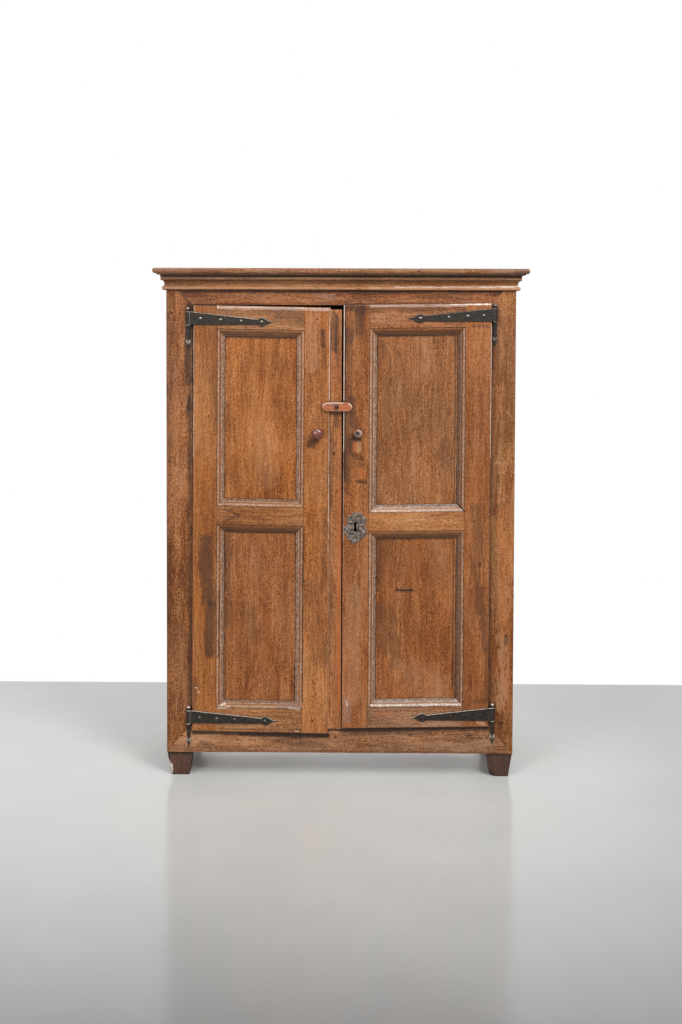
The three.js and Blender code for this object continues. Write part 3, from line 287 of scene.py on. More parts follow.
class Effects:
    """The shader groups that several finishes share.

    A noise is its scale, detail and roughness. A range is where a mask starts and where it is full, and
    some have the mask's least and greatest value after it.
    """

    PATCHES = Layer((7.0, 7.0, 3.0), 3.0, 0.55, 0.7)
    FIGURE = Layer((30.0, 30.0, 2.2), 3.0, 0.6, 0.6)
    STREAKS = Layer((185.0, 185.0, 11.0), 3.0, 0.62, 0.75)
    MOTTLE = Layer((270.0, 270.0, 180.0), 2.0, 0.8, 1.45)
    FIBRES = Layer((620.0, 620.0, 40.0), 2.0, 0.6, 0.5)
    PORES = Layer((560.0, 560.0, 80.0), 2.0, 0.6, -0.22)
    WARMTH = Layer((16.0, 16.0, 5.0), 3.0, 0.6)
    SEED_STEP = (3.17, 5.71, 9.23)
    BEND_STRETCH = (7.0, 7.0, 2.2)
    BEND = (0.035, 0.035, 0.0)
    NOISE_MIDDLE = 0.5
    PORE_RANGE = (0.38, 0.29)
    PORE_DEPTH = -0.6
    WARMTH_RANGE = (0.3, 0.7)
    COOL_TINT = (0.93, 1.0, 1.12, 1.0)
    WARM_TINT = (1.06, 0.99, 0.84, 1.0)

    FRONT_PLANE = (1.0, 0.0, 1.0)
    MARK_STRETCH = (1.0, 1.0, 0.16)
    MARK_DETAIL = (3.0, 0.65)
    MARK_STREAKS = (190.0, 2.0, 0.6)
    MARK_BREAK = 3.0
    MARK_RANGE = (0.1, 0.9)
    MARK_FADE = (0.0, 0.35)
    LEAST_LENGTH = 1e-9

    RUBBED_RANGE = (0.86, 0.45)
    SEAM_RANGE = (0.62, 0.36)
    LEVEL_RANGE = (0.965, 0.995)
    WEAR_NOISE = (34.0, 4.0, 0.7)
    WEAR_RANGE = (0.36, 0.62)
    OCCLUSION_SAMPLES = 8
    DIRT_AND_SHADE_RANGE = (0.90, 0.42)
    DIRT_AND_SHADE_NOISE = (60.0, 3.0, 0.6)
    DIRT_AND_SHADE_SHARE = (0.25, 0.65, 0.55, 1.0)

    DENT_SCALE = 120.0
    SCALE_NOISE = (95.0, 4.0, 0.65)
    SCALE_RANGE = (0.38, 0.66)
    PIT_NOISE = (620.0, 2.0, 0.6)
    PIT_RANGE = (0.40, 0.30)
    PIT_DEPTH = -0.5

    def __init__(self) -> None:
        """Builds every group once."""
        self.oak = self._oak()
        self.stroke = self._stroke()
        self.edge_wear = self._edge_wear()
        self.cavity_dirt_and_shade = self._cavity_dirt_and_shade()
        self.hammered = self._hammered()

    def _oak(self) -> bpy.types.NodeTree:
        """Oak with its grain along Z: broad figure, streaks, mottling and pores.

        Returns:
            The group.
        """
        graph, given, result = open_group(
            "OakGrain",
            [("Vector", "Vector", None), ("Seed", "Float", 0.0), ("Contrast", "Float", 1.0),
             ("Dark", "Color", None), ("Middle", "Color", None), ("Light", "Color", None)],
            [("Color", "Color"), ("Tone", "Float"), ("Height", "Float")],
        )
        shift = graph.scaled(self.SEED_STEP, given["Seed"])
        shifted = graph.vector("ADD", given["Vector"], shift).outputs[0]
        bend = graph.noise(graph.stretch(shifted, self.BEND_STRETCH), 1.0)
        bent = graph.vector("MULTIPLY_ADD", graph.centred(bend), self.BEND, shifted).outputs[0]

        def drawn(layer: Layer) -> Socket:
            """Noise drawn out along the grain."""
            drawn_out = graph.stretch(bent, layer.stretch)
            return graph.noise(drawn_out, 1.0, layer.detail, layer.roughness).outputs[0]

        streaks, fibres = drawn(self.STREAKS), drawn(self.FIBRES)
        middle, spread = self.NOISE_MIDDLE, 0.0
        for source, layer in ((drawn(self.PATCHES), self.PATCHES), (drawn(self.FIGURE), self.FIGURE),
                              (streaks, self.STREAKS), (drawn(self.MOTTLE), self.MOTTLE),
                              (fibres, self.FIBRES)):
            spread = graph.fused(graph.less(source, middle), layer.weight, spread)
        pores = graph.remap(drawn(self.PORES), *self.PORE_RANGE, smooth=True)
        spread = graph.fused(pores, self.PORES.weight, spread)
        tone = graph.fused(spread, given["Contrast"], middle, clamp=True)
        lower = graph.mix(graph.remap(tone, 0.0, middle), given["Dark"], given["Middle"])
        colour = graph.mix(graph.remap(tone, middle, 1.0), lower, given["Light"])
        height = graph.fused(pores, self.PORE_DEPTH, graph.math("ADD", streaks, fibres))
        cool, warm = (graph.mix(1.0, colour, tint, "MULTIPLY") for tint in (self.COOL_TINT, self.WARM_TINT))
        colour = graph.mix(graph.remap(drawn(self.WARMTH), *self.WARMTH_RANGE), cool, warm)
        graph.fill(result, Color=colour, Tone=tone, Height=height)
        return graph.tree

    def _stroke(self) -> bpy.types.NodeTree:
        """A ragged mark between two points of the front, broken up along the grain.

        Returns:
            The group.
        """
        graph, given, result = open_group(
            "SoftStroke",
            [("Vector", "Vector", None), ("Grain Vector", "Vector", None), ("Start", "Vector", None),
             ("End", "Vector", None), ("Radius", "Float", 0.01), ("Softness", "Float", 0.01),
             ("Ragged", "Float", 0.0), ("Broken", "Float", 0.5), ("Scale", "Float", 60.0)],
            [("Mask", "Float")],
        )
        flat = graph.stretch(given["Vector"], self.FRONT_PLANE)
        stretched = graph.stretch(given["Grain Vector"], self.MARK_STRETCH)
        rough = graph.noise(stretched, given["Scale"], *self.MARK_DETAIL)
        push = graph.scaled(graph.centred(rough), given["Ragged"])
        moved = graph.vector("MULTIPLY_ADD", push, self.FRONT_PLANE, flat).outputs[0]
        along = graph.vector("SUBTRACT", given["End"], given["Start"]).outputs[0]
        offset = graph.vector("SUBTRACT", moved, given["Start"]).outputs[0]
        reach = graph.vector("DOT_PRODUCT", offset, along).outputs["Value"]
        length = graph.math("ADD", graph.vector("DOT_PRODUCT", along, along).outputs["Value"],
                            self.LEAST_LENGTH)
        share = graph.math("DIVIDE", reach, length, clamp=True)
        gap = graph.vector("DISTANCE", offset, graph.scaled(along, share)).outputs["Value"]
        edge = graph.math("ADD", given["Radius"], given["Softness"])
        near = graph.remap(gap, edge, given["Radius"])
        streaks, coarse = (graph.less(noise.outputs[0], self.NOISE_MIDDLE)
                           for noise in (graph.noise(stretched, *self.MARK_STREAKS), rough))
        uneven = graph.times(graph.math("ADD", streaks, coarse), given["Broken"])
        broken = graph.math("ADD", near, graph.times(uneven, self.MARK_BREAK))
        filled = graph.remap(broken, *self.MARK_RANGE, smooth=True)
        graph.fill(result, Mask=graph.times(filled, graph.remap(near, *self.MARK_FADE, smooth=True)))
        return graph.tree

    def _edge_wear(self) -> bpy.types.NodeTree:
        """Rubbed corners, broken up by noise, and the thin seam round a face that lies level.

        Returns:
            The group.
        """
        graph, given, result = open_group(
            "EdgeWear",
            [("Vector", "Vector", None), ("Reach", "Float", 0.004), ("Break", "Float", 0.5),
             ("Level", "Float", 0.0)],
            [("Mask", "Float"), ("Seam", "Float")],
        )
        inner = graph.add("ShaderNodeAmbientOcclusion", Distance=given["Reach"],
                          settings={"inside": True, "only_local": True, "samples": self.OCCLUSION_SAMPLES})
        raw = graph.remap(inner.outputs["AO"], *self.RUBBED_RANGE, smooth=True)
        normal = graph.add("ShaderNodeNewGeometry").outputs["Normal"]
        parts = graph.add("ShaderNodeSeparateXYZ", graph.vector("ABSOLUTE", normal).outputs[0]).outputs
        widest = graph.most(graph.most(parts[0], parts[1]), parts[2])
        level = graph.remap(widest, *self.LEVEL_RANGE, smooth=True)
        kept_level = graph.fused(level, graph.less(given["Level"], 1.0), 1.0)
        breaks = graph.noise(given["Vector"], *self.WEAR_NOISE).outputs[0]
        kept = graph.remap(breaks, *self.WEAR_RANGE, smooth=True)
        share = graph.fused(kept, given["Break"], graph.less(1.0, given["Break"]))
        worn = graph.times(graph.times(raw, share), kept_level, clamp=True)
        seam = graph.times(graph.remap(inner.outputs["AO"], *self.SEAM_RANGE, smooth=True), level)
        graph.fill(result, Mask=worn, Seam=seam)
        return graph.tree

    def _cavity_dirt_and_shade(self) -> bpy.types.NodeTree:
        """Dirt and painted shade in corners and grooves.

        Returns:
            The group.
        """
        graph, given, result = open_group(
            "CavityDirtAndShade",
            [("Vector", "Vector", None), ("Reach", "Float", 0.014)],
            [("Mask", "Float")],
        )
        outer = graph.add("ShaderNodeAmbientOcclusion", Distance=given["Reach"],
                          settings={"inside": False, "samples": self.OCCLUSION_SAMPLES})
        raw = graph.remap(outer.outputs["AO"], *self.DIRT_AND_SHADE_RANGE, smooth=True)
        breaks = graph.noise(given["Vector"], *self.DIRT_AND_SHADE_NOISE).outputs[0]
        share = graph.remap(breaks, *self.DIRT_AND_SHADE_SHARE)
        graph.fill(result, Mask=graph.times(raw, share, clamp=True))
        return graph.tree

    def _hammered(self) -> bpy.types.NodeTree:
        """Forged iron: shallow hammer marks, scale and fine pits.

        Returns:
            The group.
        """
        graph, given, result = open_group(
            "HammeredIron",
            [("Vector", "Vector", None)],
            [("Height", "Float"), ("Scale Mask", "Float"), ("Pits", "Float")],
        )
        dents = graph.add("ShaderNodeTexVoronoi", Vector=given["Vector"], Scale=self.DENT_SCALE,
                          settings={"feature": "SMOOTH_F1"}).outputs["Distance"]
        scale = graph.noise(given["Vector"], *self.SCALE_NOISE).outputs[0]
        pits = graph.remap(graph.noise(given["Vector"], *self.PIT_NOISE).outputs[0], *self.PIT_RANGE)
        height = graph.fused(pits, self.PIT_DEPTH, graph.math("ADD", dents, scale))
        mask = graph.remap(scale, *self.SCALE_RANGE, smooth=True)
        graph.fill(result, Height=height, Scale_Mask=mask, Pits=pits)
        return graph.tree


# Finishes

class Grain(Enum):
    """The row axis that a board's grain runs along."""

    ACROSS = "x"
    DEEP = "y"
    UPRIGHT = "z"


class Mark(Enum):
    """Kinds of mark on old wood, each with its colour of 0 to 255 a channel. Besides stains, dirt and cracks,
    the dark kinds also lay painted shade and shadow, and the pale, bright and pinkish-grey kinds lay painted
    highlight.
    """

    # Stain, also laid as painted shade in gaps and grooves.
    STAIN = (76, 44, 28)
    # Dirt, also laid as painted shade and painted shadow.
    GRIME = (36, 24, 18)
    CRACK = (14, 8, 5)
    PALE = (190, 146, 112)
    WARM = (178, 96, 50)
    GREY = (136, 112, 98)
    # Mostly painted highlight on arrises and rims, and bare scuffs in places.
    BRIGHT = (232, 216, 204)
    # Painted highlight, soft and pinkish grey.
    BLOOM = (184, 160, 150)
    # Dark patches, also laid as painted shadow.
    DUSK = (66, 43, 32)


@dataclass(frozen=True)
class Stroke:
    """One mark on a board's front, with places in millimetres."""

    kind: Mark
    start: Point
    end: Point
    radius: float
    softness: float
    amount: float
    ragged: float = 12.0
    broken: float = 0.5
    scale: float = 60.0


def marks(*rows: tuple) -> tuple[Stroke, ...]:
    """Reads strokes from rows: the mark's name, x and z of both ends, then the stroke's other fields."""
    return tuple(Stroke(Mark[name], (x0, z0), (x1, z1), *rest) for name, x0, z0, x1, z1, *rest in rows)


def sunk_edge_dirt_and_shade(left_top: Point, right_top: Point, left_foot: Point, right_foot: Point) -> tuple[Stroke, ...]:
    """Draws dirt and painted shade where a panel meets its moulding, darkest under the top edge.

    Args:
        left_top: the panel's visible corner at the top left.
        right_top: the one at the top right.
        left_foot: the one at the bottom left.
        right_foot: the one at the bottom right.

    Returns:
        One stroke for each edge.
    """
    sides = ((left_top, right_top), (right_top, right_foot), (left_top, left_foot), (left_foot, right_foot))
    return marks(*(("GRIME", *start, *end, *SUNK_WIDTH, amount, *SUNK_BREAK)
                   for (start, end), amount in zip(sides, SUNK_AMOUNTS)))


@dataclass(frozen=True)
class Relief:
    """Painted shade and highlight on a stuck moulding, as if lit from above. A rail carries one that heads a
    panel and one at a panel's foot.

    A band is a depth below the face in millimetres: where its mask starts, fills, starts to fade and ends.
    """

    face_y: float
    split_z: Optional[float] = None
    # The head tint and the dark line colour are painted shade; the foot tint and the lit colour are painted
    # highlight.
    head: Colour = (112, 72, 48)
    foot: Colour = (148, 106, 78)
    upright: Colour = (142, 98, 70)
    line: Colour = (38, 22, 14)
    lit: Colour = (214, 188, 168)
    strength: float = 0.75
    rim: float = 0.4
    shine: float = 1.0
    whole: Band = (0.25, 0.7, 10.2, 10.6)
    step: Band = (4.8, 5.4, 6.6, 7.4)
    flat: Band = (8.5, 9.1, 9.8, 10.4)
    upright_rim: Band = (0.5, 0.9, 2.0, 3.0)
    foot_rim: Band = (0.5, 0.9, 2.4, 3.4)
    split_blend: float = 2.0
    step_shade: float = 0.8
    flat_share: float = 0.55
    upright_lit: float = 0.36
    head_and_foot_shade: Point = (0.75, 0.3)
    head_shade: float = 0.45
    foot_lit: Point = (0.36, 0.35)
    patches: Band = (0.36, 0.64, 0.45, 1.0)
    patch_stretch: tuple[float, float, float] = (170.0, 170.0, 26.0)
    flecks: Band = (0.47, 0.55, 0.12, 1.4)
    fleck_stretch: tuple[float, float, float] = (330.0, 330.0, 150.0)
    fleck_patches: Point = (0.5, 1.0)
    detail: Point = (3.0, 0.7)
    lit_roughness: float = 0.32


@dataclass(frozen=True)
class OakFinish:
    """Old waxed oak: one board's colour, figure, wear and marks, with dirt and painted shade in its corners
    and painted light and shade in some marks.
    """

    colour: Colour
    grain: Grain = Grain.UPRIGHT
    seed: float = 0.0
    contrast: float = 1.4
    roughness: float = 0.42
    wear: float = 0.6
    wear_reach: float = 3.5
    level_wear: float = 0.0
    seam: float = 0.45
    relief: Optional[Relief] = None
    # dirt sets the dirt and painted shade in corners and grooves.
    dirt: float = 0.75
    strokes: tuple[Stroke, ...] = ()
    dark_step: Colour = (54.0, 44.0, 36.0)
    light_step: Colour = (38.0, 38.0, 38.0)
    specular: float = 0.22
    worn_colour: Colour = (206, 170, 138)
    dirt_and_shade_colour: Colour = (34, 22, 16)
    worn_roughness: float = 0.27
    rounding: float = 1.4
    tone_range: Point = (0.2, 0.8)
    roughness_steps: Point = (0.10, -0.04)
    bump: float = 0.30
    bump_depth: float = 0.6

    def material(self, name: str, effects: Effects) -> bpy.types.Material:
        """Builds the board's material.

        Args:
            name: the material's name.
            effects: the shared shader groups.

        Returns:
            The finished material.
        """
        made, graph, shader, place = new_material(name)
        grain = self._along_grain(graph, place)
        shades = {label: linear(tuple(min(FULL, max(BLACKEST, part + sign * move))
                                      for part, move in zip(self.colour, step)))
                  for label, step, sign in (("Dark", self.dark_step, -1), ("Middle", (0, 0, 0), 1),
                                            ("Light", self.light_step, 1))}
        oak = graph.group(effects.oak, Vector=grain, Seed=self.seed, Contrast=self.contrast, **shades)
        colour, height = oak["Color"], oak["Height"]
        dark_rough, light_rough = (self.roughness + step for step in self.roughness_steps)
        rough = graph.remap(oak["Tone"], *self.tone_range, dark_rough, light_rough)
        if self.relief:
            colour, rough = self._relief_light_and_shade(graph, self.relief, place, grain, colour, rough)
        for stroke in self.strokes:
            colour, height = self._laid(graph, effects, (place, grain), stroke, colour, height)
        worn = graph.group(effects.edge_wear, Vector=place, Reach=self.wear_reach * MM, Level=self.level_wear)
        rubbed = graph.times(worn["Mask"], self.wear)
        colour = graph.mix(rubbed, colour, linear(self.worn_colour))
        dirt_and_shade_colour = linear(self.dirt_and_shade_colour)
        colour = graph.mix(graph.times(worn["Seam"], self.seam), colour, dirt_and_shade_colour)
        rough = graph.remap(rubbed, 0.0, 1.0, rough, self.worn_roughness)
        # Dirt and painted shade in corners and grooves.
        soiled_and_shaded = graph.times(graph.group(effects.cavity_dirt_and_shade, Vector=place)["Mask"], self.dirt)
        colour = graph.mix(soiled_and_shaded, colour, dirt_and_shade_colour)
        rounded = graph.add("ShaderNodeBevel", Radius=self.rounding * MM, settings={"samples": ROUND_SAMPLES})
        bump = graph.add("ShaderNodeBump", Strength=self.bump, Distance=self.bump_depth * MM, Height=height,
                         Normal=rounded.outputs[0])
        graph.fill(shader, Base_Color=colour, Roughness=rough, Specular_IOR_Level=self.specular,
                   Normal=bump.outputs[0])
        return made

    def _along_grain(self, graph: Graph, place: Socket) -> Socket:
        """Turns coordinates so that the grain runs along Z.

        Args:
            graph: the material's tree.
            place: object coordinates.

        Returns:
            The turned coordinates.
        """
        if self.grain is Grain.UPRIGHT:
            return place
        parts = graph.add("ShaderNodeSeparateXYZ", place).outputs
        order = (2, 1, 0) if self.grain is Grain.ACROSS else (0, 2, 1)
        return graph.add("ShaderNodeCombineXYZ", *(parts[index] for index in order)).outputs[0]

    @staticmethod
    def _laid(graph: Graph, effects: Effects, places: tuple[Socket, Socket], stroke: Stroke, colour: Socket,
              height: Socket) -> tuple[Socket, Socket]:
        """Lays one mark over the wood.

        Args:
            graph: the material's tree.
            effects: the shared shader groups.
            places: object coordinates, plain and turned along the grain.
            stroke: the mark.
            colour: the colour below it.
            height: the height below it.

        Returns:
            The colour and the height with the mark.
        """
        mask = graph.group(effects.stroke, Vector=places[0], Grain_Vector=places[1],
                           Start=(stroke.start[0] * MM, 0.0, stroke.start[1] * MM),
                           End=(stroke.end[0] * MM, 0.0, stroke.end[1] * MM), Radius=stroke.radius * MM,
                           Softness=stroke.softness * MM, Ragged=stroke.ragged * MM, Broken=stroke.broken,
                           Scale=stroke.scale)["Mask"]
        share = graph.times(mask, stroke.amount)
        blended = graph.mix(share, colour, linear(stroke.kind.value))
        if stroke.kind is Mark.CRACK:
            height = graph.fused(share, CRACK_DEPTH, height)
        return blended, height

    @staticmethod
    def _relief_light_and_shade(graph: Graph, relief: Relief, place: Socket, grain: Socket, colour: Socket,
                     rough: Socket) -> tuple[Socket, Socket]:
        """Paints shade and highlight on the stuck moulding by its depth below the face.

        Args:
            graph: the material's tree.
            relief: the moulding's painted light and shade.
            place: object coordinates.
            grain: object coordinates turned along the grain.
            colour: the colour of the flat wood.
            rough: its roughness.

        Returns:
            The colour and the roughness with the moulding's painted light and shade.
        """
        parts = graph.add("ShaderNodeSeparateXYZ", place).outputs
        depth = graph.times(graph.less(parts[1], relief.face_y), 1.0 / MM)

        def within(band: Band) -> Socket:
            """Mask of a band of depth."""
            start, full, last, end = band
            return graph.times(graph.remap(depth, start, full), graph.remap(depth, end, last))

        def even(stretch: tuple[float, float, float], spread: Band) -> Socket:
            """Noise drawn out along the grain and eased between a band's first two values."""
            noise = graph.noise(graph.stretch(grain, stretch), 1.0, *relief.detail).outputs[0]
            return graph.remap(noise, *spread[:2], smooth=True)

        broken = even(relief.patch_stretch, relief.patches)
        zone = graph.times(within(relief.whole), relief.strength)
        step, flat = within(relief.step), within(relief.flat)
        if relief.split_z is None:
            # Uprights: painted shade in the step and on dull flats, painted highlight on shining flats and
            # the rim.
            tint: object = linear(relief.upright)
            dull = graph.times(flat, relief.flat_share * (1.0 - relief.shine))
            dark = graph.most(graph.times(step, relief.step_shade), dull)
            rim = graph.times(within(relief.upright_rim), relief.upright_lit)
            lit = graph.most(graph.times(flat, relief.flat_share * relief.shine), rim)
        else:
            # Rails: painted shade on the head moulding and in its step, painted highlight on the foot
            # moulding.
            foot = graph.remap(parts[2], (relief.split_z - relief.split_blend) * MM,
                               (relief.split_z + relief.split_blend) * MM)
            head = graph.less(1.0, foot)
            tint = graph.mix(foot, linear(relief.head), linear(relief.foot))
            line = graph.times(step, graph.remap(foot, 0.0, 1.0, *relief.head_and_foot_shade))
            dark = graph.most(line, graph.times(flat, graph.times(head, relief.head_shade)))
            rim = graph.times(within(relief.foot_rim), foot)
            least, more = relief.foot_lit
            shelf = graph.times(flat, graph.times(foot, least + relief.rim * more))
            lit = graph.most(graph.times(rim, relief.rim), shelf)
        uneven = graph.times(zone, graph.remap(broken, 0.0, 1.0, *relief.patches[2:]))
        colour = graph.mix(uneven, colour, tint)
        colour = graph.mix(dark, colour, linear(relief.line))
        # Flecks of painted highlight on the lit parts.
        spots = graph.remap(even(relief.fleck_stretch, relief.flecks), 0.0, 1.0, *relief.flecks[2:])
        flecks = graph.times(spots, graph.remap(broken, 0.0, 1.0, *relief.fleck_patches))
        bright = graph.times(lit, flecks, clamp=True)
        colour = graph.mix(bright, colour, linear(relief.lit))
        return colour, graph.remap(bright, 0.0, 1.0, rough, relief.lit_roughness)


@dataclass(frozen=True)
class IronFinish:
    """Forged iron, dark and scaled, bright where it is rubbed, with a painted highlight along its
    upward-facing edges.
    """

    colour: Colour = (29, 24, 20)
    scale_colour: Colour = (53, 44, 36)
    bright_colour: Colour = (214, 202, 188)
    roughness: float = 0.44
    wear: float = 0.6
    wear_reach: float = 1.0
    # rim sets the painted highlight along upward-facing edges.
    rim: float = 1.0
    lip: float = 1.8
    dents: float = 0.7
    dent_depth: float = 0.8
    rounding: float = 0.5
    pit_colour: Colour = (22, 17, 14)
    pit_share: float = 0.7
    broken: float = 0.6
    specular: float = 0.35
    scale_roughness: float = 0.16
    metal: Point = (0.25, 0.8)
    upward_highlight: Point = (0.08, 0.34)
    patch_noise: tuple[float, float, float] = (70.0, 3.0, 0.6)
    patches: Band = (0.34, 0.54, 0.45, 1.0)

    def material(self, name: str, effects: Effects) -> bpy.types.Material:
        """Builds the iron's material.

        Args:
            name: the material's name.
            effects: the shared shader groups.

        Returns:
            The finished material.
        """
        made, graph, shader, place = new_material(name)
        forged = graph.group(effects.hammered, Vector=place)
        worn = graph.group(effects.edge_wear, Vector=place, Reach=self.wear_reach * MM, Break=self.broken)
        colour = graph.mix(forged["Scale Mask"], linear(self.colour), linear(self.scale_colour))
        colour = graph.mix(graph.times(forged["Pits"], self.pit_share), colour, linear(self.pit_colour))
        normal = graph.add("ShaderNodeBevel", Radius=self.lip * MM, settings={"samples": LIP_SAMPLES})
        height = graph.add("ShaderNodeSeparateXYZ", normal.outputs[0]).outputs[2]
        # Painted highlight where the rounded edges face upwards, broken into patches.
        upward_highlight = graph.remap(height, *self.upward_highlight, smooth=True)
        patches = graph.remap(graph.noise(place, *self.patch_noise).outputs[0], *self.patches)
        lit = graph.times(graph.times(upward_highlight, patches), self.rim)
        # Worn edges and the painted highlight together.
        rubbed = graph.most(graph.times(worn["Mask"], self.wear), lit)
        colour = graph.mix(rubbed, colour, linear(self.bright_colour))
        rounded = graph.add("ShaderNodeBevel", Radius=self.rounding * MM, settings={"samples": ROUND_SAMPLES})
        bump = graph.add("ShaderNodeBump", Strength=self.dents, Distance=self.dent_depth * MM,
                         Height=forged["Height"], Normal=rounded.outputs[0])
        rough = graph.remap(forged["Scale Mask"], 0.0, 1.0, self.roughness,
                            self.roughness + self.scale_roughness)
        graph.fill(shader, Base_Color=colour, Metallic=graph.remap(rubbed, 0.0, 1.0, *self.metal),
                   Specular_IOR_Level=self.specular, Roughness=rough, Normal=bump.outputs[0])
        return made


@dataclass(frozen=True)
class TurnedFinish:
    """Small hand-polished pieces of close-grained wood."""

    colour: Colour
    dark: Colour
    worn: Colour
    roughness: float = 0.24
    wear: float = 0.6
    coat: float = 0.25
    grain: Grain = Grain.ACROSS
    strokes: tuple[Stroke, ...] = ()
    seed: float = 4.7
    contrast: float = 1.0
    wear_reach: float = 2.2
    # dirt sets the dirt and painted shade in corners.
    dirt: float = 0.5
    specular: float = 0.5

    def material(self, name: str, effects: Effects) -> bpy.types.Material:
        """Builds the material.

        Args:
            name: the material's name.
            effects: the shared shader groups.

        Returns:
            The finished material.
        """
        base = OakFinish(self.colour, self.grain, self.seed, self.contrast, self.roughness, self.wear,
                         self.wear_reach, dirt=self.dirt, strokes=self.strokes, specular=self.specular,
                         worn_colour=self.worn, dirt_and_shade_colour=self.dark)
        made = base.material(name, effects)
        made.node_tree.nodes["Principled BSDF"].inputs["Coat Weight"].default_value = self.coat
        return made


# Meshes

def spot(x: float, y: float, z: float) -> Vector:
    """A point in metres from x and z in millimetres and y in metres."""
    return Vector((x * MM, y, z * MM))


def placed(name: str, data: bpy.types.ID) -> bpy.types.Object:
    """Puts data in the scene as an object.

    Args:
        name: the object's name.
        data: its mesh, curve, light or camera.

    Returns:
        The object.
    """
    made = bpy.data.objects.new(name, data)
    bpy.context.scene.collection.objects.link(made)
    return made


def plain_mesh(holder: bpy.types.Object) -> bpy.types.Mesh:
    """Takes the evaluated mesh of an object."""
    bpy.context.view_layer.update()
    return bpy.data.meshes.new_from_object(holder.evaluated_get(bpy.context.evaluated_depsgraph_get()))


def new_piece(name: str, mesh: bpy.types.Mesh, material: bpy.types.Material,
              smooth: bool = True) -> bpy.types.Object:
    """Puts a finished piece in the scene.

    Args:
        name: the piece's name.
        mesh: its mesh, with its place in its points.
        material: its one material.
        smooth: whether its faces are shaded smooth.

    Returns:
        The object.
    """
    mesh.materials.clear()
    mesh.materials.append(material)
    mesh.polygons.foreach_set("use_smooth", [smooth] * len(mesh.polygons))
    return placed(name, mesh)


def finished_mesh(name: str, work: bmesh.types.BMesh, weld: float = 1e-6) -> bpy.types.Mesh:
    """Welds a working mesh, turns its faces outwards and stores it.

    Args:
        name: the mesh's name.
        work: the working mesh, which is freed.
        weld: how close points are joined, in metres.

    Returns:
        The stored mesh.
    """
    bmesh.ops.remove_doubles(work, verts=work.verts, dist=weld)
    bmesh.ops.recalc_face_normals(work, faces=work.faces)
    mesh = bpy.data.meshes.new(name)
    work.to_mesh(mesh)
    work.free()
    return mesh


def turned(work: bmesh.types.BMesh, profile: Sequence[Point], centre: Vector, sides: int = 40,
           towards_front: bool = True) -> None:
    """Adds a turned solid.

    Args:
        work: the mesh to add to.
        profile: (radius, height) points that start and end on the axis, in millimetres.
        centre: where the axis starts.
        sides: how many sides a turn has.
        towards_front: height grows towards the front, and otherwise upwards.
    """
    rings = []
    for radius, height in profile:
        steps = sides if radius > 0 else 1
        ring = []
        for step in range(steps):
            angle = 2 * math.pi * step / steps
            across, around, along = radius * math.cos(angle) * MM, radius * math.sin(angle) * MM, height * MM
            offset = (across, -along, around) if towards_front else (across, around, along)
            ring.append(work.verts.new(centre + Vector(offset)))
        rings.append(ring)
    for lower, upper in zip(rings, rings[1:]):
        for step in range(sides):
            corners = [lower[step % len(lower)], lower[(step + 1) % len(lower)],
                       upper[(step + 1) % len(upper)], upper[step % len(upper)]]
            unique = list(dict.fromkeys(corners))
            if len(unique) > 2:
                work.faces.new(unique)


def dome(radius: float, rise: float, last_angle: float, steps: int) -> list[Point]:
    """Profile of a low dome on a flat seat, its arc ended a little before the top."""
    crown = arc((0.0, 0.0), (radius, rise), 0, last_angle, steps)
    return [(0.0, 0.0), *crown, (0.0, rise)]


def arc(centre: Point, radii: Point, start: float, end: float, steps: int) -> list[Point]:
    """Points of an elliptic arc, both ends included.

    Args:
        centre: its centre.
        radii: its two radii.
        start: the first angle in degrees.
        end: the last angle in degrees.
        steps: how many stretches it has.

    Returns:
        The points in order.
    """
    found = []
    for step in range(steps + 1):
        angle = math.radians(start + (end - start) * step / steps)
        found.append((centre[0] + radii[0] * math.cos(angle), centre[1] + radii[1] * math.sin(angle)))
    return found


def softened(points: Sequence[Point], spacing: float, wobble: float, seed: int) -> list[Point]:
    """Splits an outline into short stretches and makes it slightly uneven, as hand work is.

    Args:
        points: the corners, in millimetres.
        spacing: the longest stretch.
        wobble: how far a point may stray.
        seed: which unevenness to use.

    Returns:
        The outline's new points.
    """
    draw = random.Random(seed)
    phases = [draw.uniform(0, 2 * math.pi) for _ in range(2 * len(EDGE_WAVES))]

    def sway(at: float, which: int) -> float:
        """How far the outline strays at a length along it.

        Args:
            at: the length along the outline, in millimetres.
            which: the wave that it follows.

        Returns:
            The stray in millimetres.
        """
        long, short, part = EDGE_WAVES[which]
        first, second = phases[2 * which:2 * which + 2]
        return wobble * (math.sin(at / long + first) + part * math.sin(at / short + second))

    found = []
    travelled = 0.0
    for (x0, z0), (x1, z1) in zip(points, list(points[1:]) + [points[0]]):
        length = math.hypot(x1 - x0, z1 - z0)
        count = max(1, round(length / spacing))
        for step in range(count):
            share = step / count
            stray, side = (sway(travelled + length * share, which) for which in (0, 1))
            found.append((x0 + (x1 - x0) * share + side * 0.5, z0 + (z1 - z0) * share + stray * 0.5))
        travelled += length
    return found


